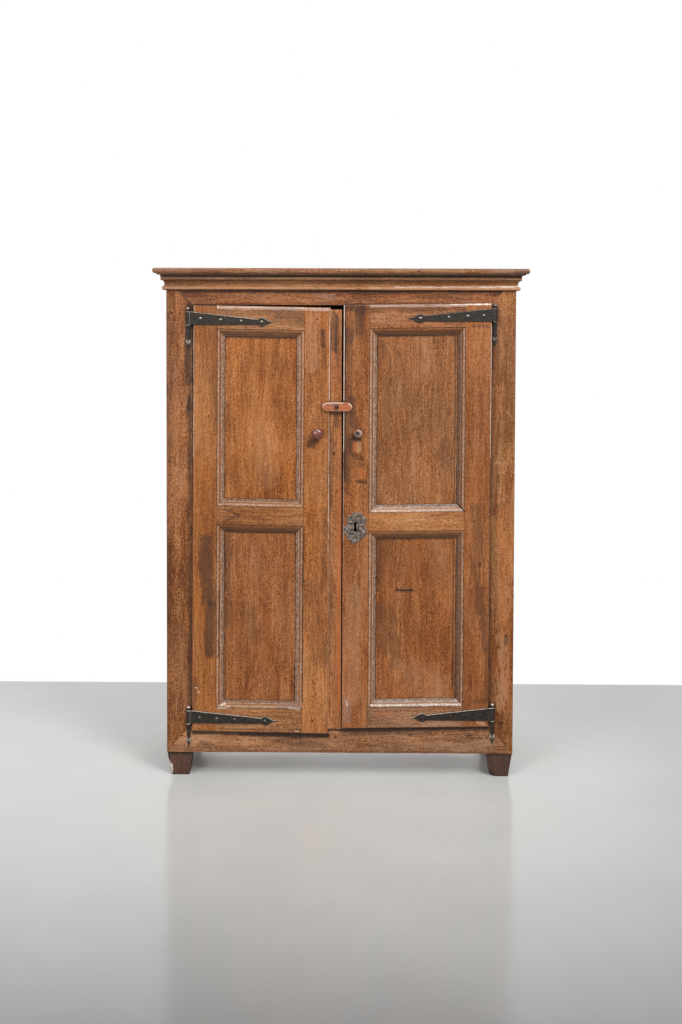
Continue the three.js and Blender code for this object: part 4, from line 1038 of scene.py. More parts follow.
def flat_plate(name: str, outlines: Sequence[Sequence[Point]], thickness: float, bevel: float,
               place: Matrix, rounds: int = 2) -> bpy.types.Mesh:
    """A plate of any outline with holes and rounded edges, standing in the plane of the front.

    Args:
        name: the mesh's name.
        outlines: the outer outline and any holes, in millimetres of x and z.
        thickness: the plate's thickness in millimetres.
        bevel: the rounding of its edges in millimetres.
        place: where its origin and back face go.
        rounds: how many steps the rounding has.

    Returns:
        The plate's closed mesh.
    """
    curve = bpy.data.curves.new(f"{name}_outline", "CURVE")
    curve.dimensions = "2D"
    curve.fill_mode = "BOTH"
    curve.extrude = (thickness / 2 - bevel) * MM
    curve.bevel_depth = bevel * MM
    curve.bevel_resolution = rounds
    curve.offset = -bevel * MM
    for outline in outlines:
        spline = curve.splines.new("POLY")
        spline.points.add(len(outline) - 1)
        for point, (x, z) in zip(spline.points, outline):
            point.co = (x * MM, z * MM, 0.0, 1.0)
        spline.use_cyclic_u = True
    holder = placed(f"{name}_outline", curve)
    mesh = plain_mesh(holder)
    bpy.data.objects.remove(holder)
    stand = Matrix.Rotation(math.pi / 2, 4, "X")
    mesh.transform(place @ Matrix.Translation((0, -thickness / 2 * MM, 0)) @ stand)
    work = bmesh.new()
    work.from_mesh(mesh)
    bpy.data.meshes.remove(mesh)
    return finished_mesh(name, work, PLATE_WELD)


def joined(name: str, meshes: Sequence[bpy.types.Mesh]) -> bpy.types.Mesh:
    """Puts several meshes in one, each still a closed shell.

    Args:
        name: the new mesh's name.
        meshes: the meshes, which are removed.

    Returns:
        The whole mesh.
    """
    work = bmesh.new()
    for mesh in meshes:
        work.from_mesh(mesh)
        bpy.data.meshes.remove(mesh)
    whole = bpy.data.meshes.new(name)
    work.to_mesh(whole)
    work.free()
    return whole


# Repeated heads

class Heads:
    """Nail heads and peg ends, set on points by one Geometry Nodes tree."""

    def __init__(self) -> None:
        """Builds the tree with named inputs."""
        self.tree = bpy.data.node_groups.new("ScatteredHeads", "GeometryNodeTree")
        face = self.tree.interface
        face.new_socket("Geometry", in_out="INPUT", socket_type="NodeSocketGeometry")
        for label, value in (("Radius", 0.005), ("Rise", 0.0025), ("Spread", 0.1)):
            face.new_socket(label, in_out="INPUT", socket_type="NodeSocketFloat").default_value = value
        face.new_socket("Seed", in_out="INPUT", socket_type="NodeSocketInt").default_value = 1
        face.new_socket("Material", in_out="INPUT", socket_type="NodeSocketMaterial")
        face.new_socket("Geometry", in_out="OUTPUT", socket_type="NodeSocketGeometry")
        graph = Graph(self.tree)
        given = graph.add("NodeGroupInput").outputs
        points = graph.add("GeometryNodeMeshToPoints", given["Geometry"]).outputs[0]
        head = graph.add("GeometryNodeMeshIcoSphere", Radius=1.0, Subdivisions=3).outputs[0]
        size = graph.add("ShaderNodeCombineXYZ", given["Radius"], given["Rise"], given["Radius"]).outputs[0]
        shaped = graph.add("GeometryNodeTransform", Geometry=head, Scale=size).outputs[0]
        low, high = graph.less(1.0, given["Spread"]), graph.math("ADD", 1.0, given["Spread"])
        size_draw = graph.add("FunctionNodeRandomValue", None, None, low, high,
                              settings={"data_type": "FLOAT"}, Seed=given["Seed"])
        scattered = graph.add("GeometryNodeInstanceOnPoints", Points=points, Instance=shaped,
                              Scale=size_draw.outputs[1]).outputs[0]
        real = graph.add("GeometryNodeRealizeInstances", scattered).outputs[0]
        smooth = graph.add("GeometryNodeSetShadeSmooth", Geometry=real).outputs[0]
        dressed = graph.add("GeometryNodeSetMaterial", Geometry=smooth, Material=given["Material"]).outputs[0]
        graph.feed(graph.add("NodeGroupOutput").inputs[0], dressed)

    def scatter(self, name: str, places: Sequence[Vector], radius: float, rise: float, seed: int,
                material: bpy.types.Material, spread: float = 0.12) -> bpy.types.Object:
        """Makes one mesh of heads, one head at each place.

        Args:
            name: the piece's name.
            places: the centre of each head's seat, in metres.
            radius: a head's radius in millimetres.
            rise: how far it stands out, in millimetres.
            seed: which sizes are drawn.
            material: the heads' material.
            spread: how much their sizes differ.

        Returns:
            The plain mesh object.
        """
        seats = bpy.data.meshes.new(f"{name}_seats")
        seats.from_pydata([tuple(place) for place in places], [], [])
        holder = placed(f"{name}_seats", seats)
        modifier = holder.modifiers.new("heads", "NODES")
        modifier.node_group = self.tree
        values = {"Radius": radius * MM, "Rise": rise * MM, "Spread": spread, "Seed": seed,
                  "Material": material}
        for item in self.tree.interface.items_tree:
            if item.in_out == "INPUT" and item.name in values:
                modifier[item.identifier] = values[item.name]
        mesh = plain_mesh(holder)
        mesh.name = name
        holder.modifiers.remove(modifier)
        bpy.data.objects.remove(holder)
        return new_piece(name, mesh, material)


# Sub-assemblies

class Side(Enum):
    """Left or right, with the sign of the way from the hinge to the meeting edge."""

    LEFT = 1
    RIGHT = -1

    @property
    def word(self) -> str:
        """The side's name as it stands in the names of the nodes."""
        return self.name.lower()


class RubAndHighlight(Enum):
    """How far use has rubbed a piece of iron bright, and how strong a painted highlight its upper edges get.
    """

    BRIGHT = "bright"
    DULL = "dull"
    RUSTY = "rusty"


@dataclass
class Workshop:
    """What every sub-assembly is made with."""

    effects: Effects = field(default_factory=Effects)
    heads: Heads = field(default_factory=Heads)
    iron: dict[RubAndHighlight, bpy.types.Material] = field(default_factory=dict)
    nails: dict[RubAndHighlight, bpy.types.Material] = field(default_factory=dict)

    def dress(self, node: str, material: bpy.types.Material) -> None:
        """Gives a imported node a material.

        Args:
            node: its name.
            material: the material.
        """
        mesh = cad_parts[node].data
        mesh.materials.clear()
        mesh.materials.append(material)
        log.info("dressed %s", node)

    def hang(self, piece: bpy.types.Object, body: str, slot: str, *nodes: str) -> None:
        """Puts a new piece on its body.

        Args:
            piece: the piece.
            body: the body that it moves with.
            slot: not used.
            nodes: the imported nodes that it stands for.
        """
        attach(piece, body)
        if nodes:
            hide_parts(*nodes)
        log.info("made %s on %s", piece.name, body)


@dataclass
class StrapHinge:
    """A forged strap that tapers to a spear, rolled round its pintle at the other end."""

    side: Side
    level: str
    axis_x: float
    bottom: float
    face_y: float
    seed: int
    reach: float
    nails_at: tuple[float, ...]
    edge: RubAndHighlight = RubAndHighlight.DULL
    root_height: float = 44.0
    neck_height: float = 20.0
    spear_length: float = 43.0
    spear_radius: float = 14.8
    neck_end: Point = (2.0, 0.4)
    root_end: Point = (1.6, 0.6)
    spear_arc: Sweep = (215.0, 300.0, 6)
    spear_edge: tuple[Point, ...] = ((17.0, 1.2), (24.0, 6.2))
    point_start: Point = (33.0, 1.9)
    point_end: Point = (0.5, 0.8)
    thickness: float = 3.5
    bevel: float = 1.1
    knuckle_radius: float = 7.5
    knuckle_rim: float = 1.0
    knuckle_sides: int = 32
    spacing: float = 3.0
    wobble: float = 0.55
    bore_radius: float = 5.8

    @property
    def spear_at(self) -> float:
        """How far from the axis the round of the spear has its centre."""
        return self.reach - self.spear_length

    def outline(self) -> list[Point]:
        """The plate's outline from the knuckle's bottom round the spear to the knuckle's top.

        Returns:
            Its points.
        """
        half = self.neck_height / 2
        radius = self.spear_radius
        lower = [(0.0, 0.0), (self.spear_at - radius - self.neck_end[0], self.neck_end[1])]
        lower += arc((self.spear_at, half), (radius, radius), *self.spear_arc)
        lower += [(self.spear_at + x, z) for x, z in self.spear_edge]
        lower += [(self.spear_at + self.point_start[0], half - self.point_start[1]),
                  (self.reach - self.point_end[0], half - self.point_end[1])]
        upper = [(x, 2 * half - z) for x, z in reversed(lower[1:])]
        root = (self.knuckle_radius * self.root_end[0], self.root_height - self.root_end[1])
        return lower + upper + [root, (0.0, self.root_height)]

    def build(self, shop: Workshop) -> None:
        """Makes the strap and hangs it on its door.

        Args:
            shop: the shared tools.
        """
        name = f"{self.side.word}_{self.level}_strap"
        sign = self.side.value
        outline = [(x * sign, z) for x, z in softened(self.outline(), self.spacing, self.wobble, self.seed)]
        place = Matrix.Translation(spot(self.axis_x, self.face_y, self.bottom))
        plate = flat_plate(f"{name}_plate", [outline], self.thickness, self.bevel, place)
        work = bmesh.new()
        top, rim = self.root_height, self.knuckle_rim
        ring = [(self.bore_radius, 0.0), (self.knuckle_radius - rim, 0.0), (self.knuckle_radius, rim),
                (self.knuckle_radius, top - rim), (self.knuckle_radius - rim, top), (self.bore_radius, top),
                (self.bore_radius, 0.0)]
        centre = spot(self.axis_x, HINGE_AXIS_Y, self.bottom)
        turned(work, ring, centre, self.knuckle_sides, towards_front=False)
        knuckle = finished_mesh(f"{name}_knuckle", work)
        iron = shop.iron[self.edge]
        piece = new_piece(f"{name}_forged", joined(name, [plate, knuckle]), iron, smooth=False)
        shop.hang(piece, f"{self.side.word}_door", "iron", name)

    def nail_places(self) -> list[Vector]:
        """Where the strap's nails stand, on its front face.

        Returns:
            Their places in metres.
        """
        found = []
        for x in (*self.nails_at, self.spear_at):
            share = min(1.0, x / (self.spear_at - self.spear_radius))
            z = (self.root_height + (self.neck_height - self.root_height) * share) / 2
            front = self.face_y - self.thickness * MM
            found.append(spot(self.axis_x + x * self.side.value, front, self.bottom + z))
        return found


@dataclass
class Pintle:
    """A forged pin with a ball on top, a collar, a leg on the post and a rosette."""

    side: Side
    level: str
    axis_x: float
    bottom: float
    seed: int
    edge: RubAndHighlight = RubAndHighlight.DULL
    pin_radius: float = 5.5
    collar: tuple[Point, ...] = ((0.0, -5.3), (6.7, -5.3), (7.9, -4.1), (7.9, -1.5), (6.7, -0.4), (5.5, -0.4))
    shoulder: float = 2.5
    ball_arc: Sweep = (-34.0, 84.0, 12)
    ball_radius: float = 6.6
    knuckle_height: float = 44.0
    pin_rise: float = 4.3
    leg_thickness: float = 5.5
    leg_bevel: float = 1.1
    rosette_drop: float = 58.0
    rosette_radius: float = 7.8
    rosette_rise: float = 5.8
    petals: int = 6
    petal_radius: float = 3.1
    petal_rise: float = 4.4
    leg: tuple[Point, ...] = ((6.2, -2.0), (5.4, -30.0), (3.3, -58.0), (3.0, -67.0))
    tip: Point = (0.0, -82.0)
    petal_inset: float = 0.6
    rosette_dome: tuple[float, int] = (84.0, 8)
    petal_dome: tuple[float, int] = (80.0, 5)
    pin_sides: int = 28
    rosette_sides: int = 24
    petal_sides: int = 12
    spacing: float = 3.0
    wobble: float = 0.4

    def build(self, shop: Workshop) -> None:
        """Makes the pintle and sets it on the post.

        Args:
            shop: the shared tools.
        """
        name = f"{self.side.word}_{self.level}_pintle"
        centre = spot(self.axis_x, HINGE_AXIS_Y, self.bottom)
        work = bmesh.new()
        top = self.knuckle_height + self.pin_rise
        ball = self.ball_radius
        profile = [*self.collar, (self.pin_radius, top - self.shoulder),
                   *arc((0.0, top + ball / 2), (ball, ball), *self.ball_arc), (0.0, top + ball * 1.5)]
        turned(work, profile, centre, self.pin_sides, towards_front=False)
        post_y = CARCASS_FRONT_Y - FIT
        seat = spot(self.axis_x, post_y, self.bottom - self.rosette_drop)
        rosette = dome(self.rosette_radius, self.rosette_rise, *self.rosette_dome)
        turned(work, rosette, seat, self.rosette_sides)
        ring = (self.rosette_radius - self.petal_inset) * MM
        for petal in range(self.petals):
            angle = 2 * math.pi * petal / self.petals
            offset = Vector((math.cos(angle), 0, math.sin(angle))) * ring
            leaf = dome(self.petal_radius, self.petal_rise, *self.petal_dome)
            turned(work, leaf, seat + offset, self.petal_sides)
        core = finished_mesh(f"{name}_core", work)
        leg = [*((-x, z) for x, z in self.leg), self.tip, *reversed(self.leg)]
        place = Matrix.Translation(spot(self.axis_x, post_y, self.bottom))
        outline = softened(leg, self.spacing, self.wobble, self.seed)
        plate = flat_plate(f"{name}_leg", [outline], self.leg_thickness, self.leg_bevel, place)
        piece = new_piece(f"{name}_forged", joined(name, [core, plate]), shop.iron[self.edge], smooth=False)
        shop.hang(piece, "carcass", "iron", name)


@dataclass
class Knob:
    """A turned knob in a door's meeting stile."""

    side: Side
    x: float
    z: float
    face_y: float
    profile: tuple[Point, ...]
    finish: TurnedFinish
    sides: int = 48

    def build(self, shop: Workshop) -> None:
        """Makes the knob.

        Args:
            shop: the shared tools.
        """
        name = f"{self.side.word}_knob"
        work = bmesh.new()
        turned(work, self.profile, spot(self.x, self.face_y, self.z), self.sides)
        material = self.finish.material(f"{name}_wood", shop.effects)
        piece = new_piece(f"{name}_turned", finished_mesh(name, work), material)
        shop.hang(piece, f"{self.side.word}_door", "knob_wood", name)


def mushroom_profile() -> tuple[Point, ...]:
    """A round head on a short waisted neck.

    Returns:
        The profile's points.
    """
    neck = ((0.0, -4.0), (8.8, -4.0), (9.6, 0.3), (8.6, 2.5), (7.9, 6.0), (8.6, 9.0), (11.0, 10.4))
    under = arc((0.0, 19.2), (19.4, 9.0), -52, 0, 6)
    crown = arc((0.0, 19.2), (19.4, 12.6), 0, 84, 12)[1:]
    return (*neck, *under, *crown, (0.0, 31.8))


def peg_profile() -> tuple[Point, ...]:
    """A plain round peg, its end worn hollow.

    Returns:
        The profile's points.
    """
    shank = ((0.0, -4.0), (12.6, -4.0), (13.4, 0.3), (13.9, 8.0), (15.0, 17.0), (14.9, 24.0))
    lip = arc((11.2, 26.5), (3.6, 4.4), 0, 90, 5)
    return (*shank, *lip, (8.6, 30.6), (6.4, 29.0), (3.4, 27.6), (0.0, 27.2))


@dataclass
class TurnButton:
    """The wooden bar that turns on a nail and holds the right door."""

    x: float = -11.5
    z: float = 1249.0
    back_y: float = -0.2086
    length: float = 101.0
    height: float = 31.0
    thickness: float = 10.0
    bevel: float = 2.6
    end_radius: float = 17.5
    swell: float = 0.5
    left_thinner: float = 0.8
    foot_rise: float = 0.3
    spacing: float = 6.0
    wobble: float = 0.35
    seed: int = 11
    colour: Colour = (156, 88, 50)
    dark: Colour = (60, 28, 16)
    worn: Colour = (206, 148, 112)
    boss_sides: int = 32
    nail_sides: int = 24
    nail_foot: Point = (12.0, 9.0)
    right_arc: Sweep = (-90.0, 90.0, 18)
    left_arc: Sweep = (90.0, 270.0, 18)
    nail_arc: Sweep = (0.0, 82.0, 8)
    rounds: int = 4
    boss_radius: float = 11.0
    boss_length: float = 5.8
    nail_head: Point = (6.6, 2.2)
    nail_radius: float = 3.0
    nail_lift: float = 0.3

    def build(self, shop: Workshop) -> None:
        """Makes the button and its nail.

        Args:
            shop: the shared tools.
        """
        half_length, half_height = self.length / 2, self.height / 2
        end = self.end_radius
        outline = [*arc((half_length - end, 0.0), (end, half_height), *self.right_arc),
                   (0.0, half_height + self.swell),
                   *arc((-half_length + end, 0.0), (end, half_height - self.left_thinner), *self.left_arc),
                   (0.0, -half_height + self.foot_rise)]
        outline = softened(outline, self.spacing, self.wobble, self.seed)
        centre = spot(self.x, self.back_y, self.z)
        bar = flat_plate("button_bar", [outline], self.thickness, self.bevel, Matrix.Translation(centre),
                         self.rounds)
        work = bmesh.new()
        turned(work, [(0.0, -self.boss_length), (self.boss_radius, -self.boss_length),
                      (self.boss_radius, self.thickness / 2), (0.0, self.thickness / 2)], centre,
               self.boss_sides)
        boss = finished_mesh("button_boss", work)
        finish = TurnedFinish(self.colour, self.dark, self.worn, roughness=0.34, wear=0.45,
                              strokes=self._marks_and_painted_light())
        piece = new_piece("turn_button_bar", joined("turn_button_bar", [bar, boss]),
                          finish.material("button_polish", shop.effects))
        shop.hang(piece, "turn_button", "button_wood", "turn_button")

        work = bmesh.new()
        seat = self.thickness + self.nail_lift
        foot, taper = self.nail_foot
        head = [(0.0, -self.boss_length - foot), (self.nail_radius, -self.boss_length - taper),
                (self.nail_radius, seat), *arc((0.0, seat), self.nail_head, *self.nail_arc),
                (0.0, seat + self.nail_head[1])]
        turned(work, head, centre, self.nail_sides)
        mesh = finished_mesh("button_nail_head", work)
        nail = new_piece("button_nail_head", mesh, shop.nails[RubAndHighlight.RUSTY])
        shop.hang(nail, "left_door", "iron", "button_nail")

    @staticmethod
    def _marks_and_painted_light() -> tuple[Stroke, ...]:
        """Painted highlight round the rim, strongest along the top and at the ends, a warm worn end and dirt
        round the nail.

        Returns:
            The marks.
        """
        return marks(
            ("WARM", 0, 1248, 26, 1247, 6, 6, 0.6, 3, 0.4, 120),
            ("GREY", -26, 1257, -14, 1255, 2, 5, 0.5, 3, 0.6, 160),
            ("DUSK", -20, 1252, -16, 1242, 4, 5, 0.65, 3, 0.4, 160),
            # Painted highlight round the rim, these five lines.
            ("BRIGHT", -50, 1262, 8, 1263, 0.6, 2, 0.5, 1.5, 1.4, 220),
            ("BRIGHT", -58, 1254, -52, 1260, 1, 2.6, 0.5, 1.5, 0.8, 220),
            ("BRIGHT", 28, 1260, 37, 1251, 1, 2.4, 0.5, 1.5, 0.8, 220),
            ("PALE", 37, 1247, 34, 1240, 0.8, 2.4, 0.4, 1.5, 0.8, 220),
            ("PALE", -50, 1235.5, 28, 1235.5, 0.5, 1.8, 0.28, 1.5, 1.4, 220),
        )


@dataclass
class Escutcheon:
    """The pierced and crowned lock plate on the right door."""

    x: float = 51.5
    z: float = 843.5
    width: float = 80.0
    height: float = 110.0
    thickness: float = 2.2
    bevel: float = 0.7
    tilt: float = 7.7
    spacing: float = 2.6
    wobble: float = 0.4
    seed: int = 5
    nail_radius: float = 3.0
    nail_rise: float = 1.5
    nail_seed: int = 3
    finish: IronFinish = IronFinish((58, 49, 43), (144, 127, 115), (222, 210, 198), wear=1.0, wear_reach=1.8,
                                    rim=0.8, lip=1.2, dents=1.4)
    eye: Point = (50.0, 858.6)
    eye_radius: float = 5.3
    neck_half: float = 3.5
    neck_z: float = 848.0
    wedge_foot: tuple[Point, Point] = ((44.5, 832.5), (56.7, 829.0))
    piercing: Point = (0.45, 0.33)
    piercing_radius: float = 2.6
    piercing_arc: Sweep = (0.0, 330.0, 11)
    eye_steps: int = 20
    nail_shares: tuple[Point, ...] = ((-0.45, 0.33), (0.0, -0.76), (-0.72, -0.16), (0.74, -0.2))
    outline_shares: tuple[Point, ...] = (
        (0.0, -1.0), (0.25, -0.86), (0.30, -0.80), (0.62, -0.60), (0.66, -0.54), (0.95, -0.32), (1.0, -0.12),
        (0.93, 0.0), (0.76, 0.16), (0.72, 0.26), (0.80, 0.36), (0.80, 0.56), (0.78, 0.66), (0.62, 0.74),
        (0.46, 0.72), (0.36, 0.78), (0.44, 0.92), (0.32, 0.98), (0.20, 0.86), (0.12, 0.88), (0.12, 0.98),
        (0.0, 1.0))

    def _outer(self) -> list[Point]:
        """The whole outline, in millimetres from the plate's middle."""
        right = [(x * self.width / 2, z * self.height / 2) for x, z in self.outline_shares]
        return right + [(-x, z) for x, z in reversed(right[1:-1])]

    def _keyhole(self) -> list[Point]:
        """The keyhole's outline: a round eye over a wedge that widens downwards.

        Returns:
            Its points.
        """
        back = Matrix.Rotation(math.radians(self.tilt), 2)
        start = math.degrees(math.asin(self.neck_half / self.eye_radius)) - 90
        points = arc(self.eye, (self.eye_radius, self.eye_radius), start, 180 - start, self.eye_steps)
        x = self.eye[0]
        points += [(x - self.neck_half, self.neck_z), *self.wedge_foot, (x + self.neck_half, self.neck_z)]
        return [tuple(back @ Vector((px - self.x, pz - self.z))) for px, pz in points]

    def build(self, shop: Workshop) -> None:
        """Makes the plate and its nails.

        Args:
            shop: the shared tools.
        """
        back = RIGHT_FACE_Y - FIT
        turn = Matrix.Rotation(math.radians(self.tilt), 4, "Y")
        place = Matrix.Translation(spot(self.x, back, self.z)) @ turn
        centre = (self.piercing[0] * self.width / 2, self.piercing[1] * self.height / 2)
        hole = arc(centre, (self.piercing_radius, self.piercing_radius), *self.piercing_arc)
        outline = softened(self._outer(), self.spacing, self.wobble, self.seed)
        mesh = flat_plate("escutcheon_plate", [outline, self._keyhole(), hole], self.thickness, self.bevel,
                          place)
        iron = self.finish.material("plate_iron", shop.effects)
        piece = new_piece("escutcheon_plate", mesh, iron, smooth=False)
        shop.hang(piece, "right_door", "iron", "escutcheon")
        front = back - self.thickness * MM
        seats = []
        for x, z in self.nail_shares:
            seat = turn.to_3x3() @ Vector((x * self.width / 2 * MM, 0.0, z * self.height / 2 * MM))
            seats.append(Vector((self.x * MM + seat.x, front, self.z * MM + seat.z)))
        nails = shop.heads.scatter("escutcheon_nails", seats, self.nail_radius, self.nail_rise,
                                   self.nail_seed, shop.nails[RubAndHighlight.BRIGHT])
        shop.hang(nails, "right_door", "iron")


@dataclass
class BlockFoot:
    """A tapered foot of dark wood with knocked corners."""

    side: Side
    colour: Colour
    chips: tuple[tuple[Vector, float], ...]
    seed: int
    cells: int = 14
    top: float = 0.0797
    taper: float = 0.012
    unevenness: float = 0.6 * MM
    chip_depth: float = 0.75
    ripples: Point = (210.0, 260.0)
    chip_ripple: Point = (900.0, 3.0 * MM)
    top_band: float = 1e-6
    widest_phase: float = 6.0

    def build(self, shop: Workshop) -> None:
        """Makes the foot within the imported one.

        Args:
            shop: the shared tools.
        """
        name = f"{self.side.word}_front_foot"
        low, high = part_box(name)
        work = bmesh.new()
        corners = {}
        for level, (z, cut) in enumerate(((0.0, self.taper), (self.top, 0.0))):
            for right in (0, 1):
                for rear in (0, 1):
                    x = high.x - cut if right else low.x + cut
                    y = high.y - cut if rear else low.y + (cut / 2)
                    corners[level, right, rear] = work.verts.new((x, y, z))
        order = ((0, 0), (1, 0), (1, 1), (0, 1))
        work.faces.new([corners[0, r, b] for r, b in reversed(order)])
        work.faces.new([corners[1, r, b] for r, b in order])
        for (r0, b0), (r1, b1) in zip(order, order[1:] + order[:1]):
            work.faces.new([corners[0, r0, b0], corners[0, r1, b1], corners[1, r1, b1], corners[1, r0, b0]])
        bmesh.ops.recalc_face_normals(work, faces=work.faces)
        bmesh.ops.subdivide_edges(work, edges=work.edges[:], cuts=self.cells, use_grid_fill=True)
        draw = random.Random(self.seed)
        phase = [draw.uniform(0, self.widest_phase) for _ in range(3)]
        middle = (low + high) / 2
        for vert in work.verts:
            if vert.co.z > self.top - self.top_band:
                continue
            inward = Vector((middle.x - vert.co.x, middle.y - vert.co.y, 0.0)).normalized()
            rows = math.sin(vert.co.z * self.ripples[0] + phase[0])
            columns = math.sin(vert.co.x * self.ripples[1] + phase[1])
            depth = self.unevenness * (0.5 + 0.5 * rows * columns)
            often, far = self.chip_ripple
            for middle_of_chip, size in self.chips:
                gap = (vert.co - middle_of_chip).length + far * math.sin(vert.co.z * often + phase[2])
                depth += max(0.0, size - gap) * self.chip_depth
            vert.co += inward * depth
        finish = OakFinish(self.colour, seed=8.0 + self.seed, contrast=0.6, roughness=0.5, wear=0.35,
                           wear_reach=2.0, strokes=self._marks_and_painted_light())
        wood = finish.material(f"{name}_wood", shop.effects)
        piece = new_piece(f"{name}_block", finished_mesh(name, work), wood, smooth=False)
        shop.hang(piece, "carcass", "foot_oak", name)

    def _marks_and_painted_light(self) -> tuple[Stroke, ...]:
        """Painted shade along the top, where the foot sits under the carcass, dirt down the left foot's side,
        and bare wood in its larger chip.

        Returns:
            The marks.
        """
        if self.side is Side.RIGHT:
            # Painted shade under the carcass.
            return marks(("GRIME", 485, 78, 575, 78, 2, 6, 0.6, 3, 0.3))
        return marks(
            # Painted shade under the carcass.
            ("GRIME", -580, 78, -495, 78, 3, 9, 0.8, 3, 0.3),
            ("GRIME", -578, 70, -572, 34, 2, 4, 0.7, 2, 0.3),
            ("BRIGHT", -568, 34, -565, 4, 1.6, 4, 0.8, 7, 1, 120),
            ("PALE", -572, 50, -570, 36, 0.6, 2.5, 0.7, 4, 0.8, 120),
        )


# Boards of the carcass and of the doors

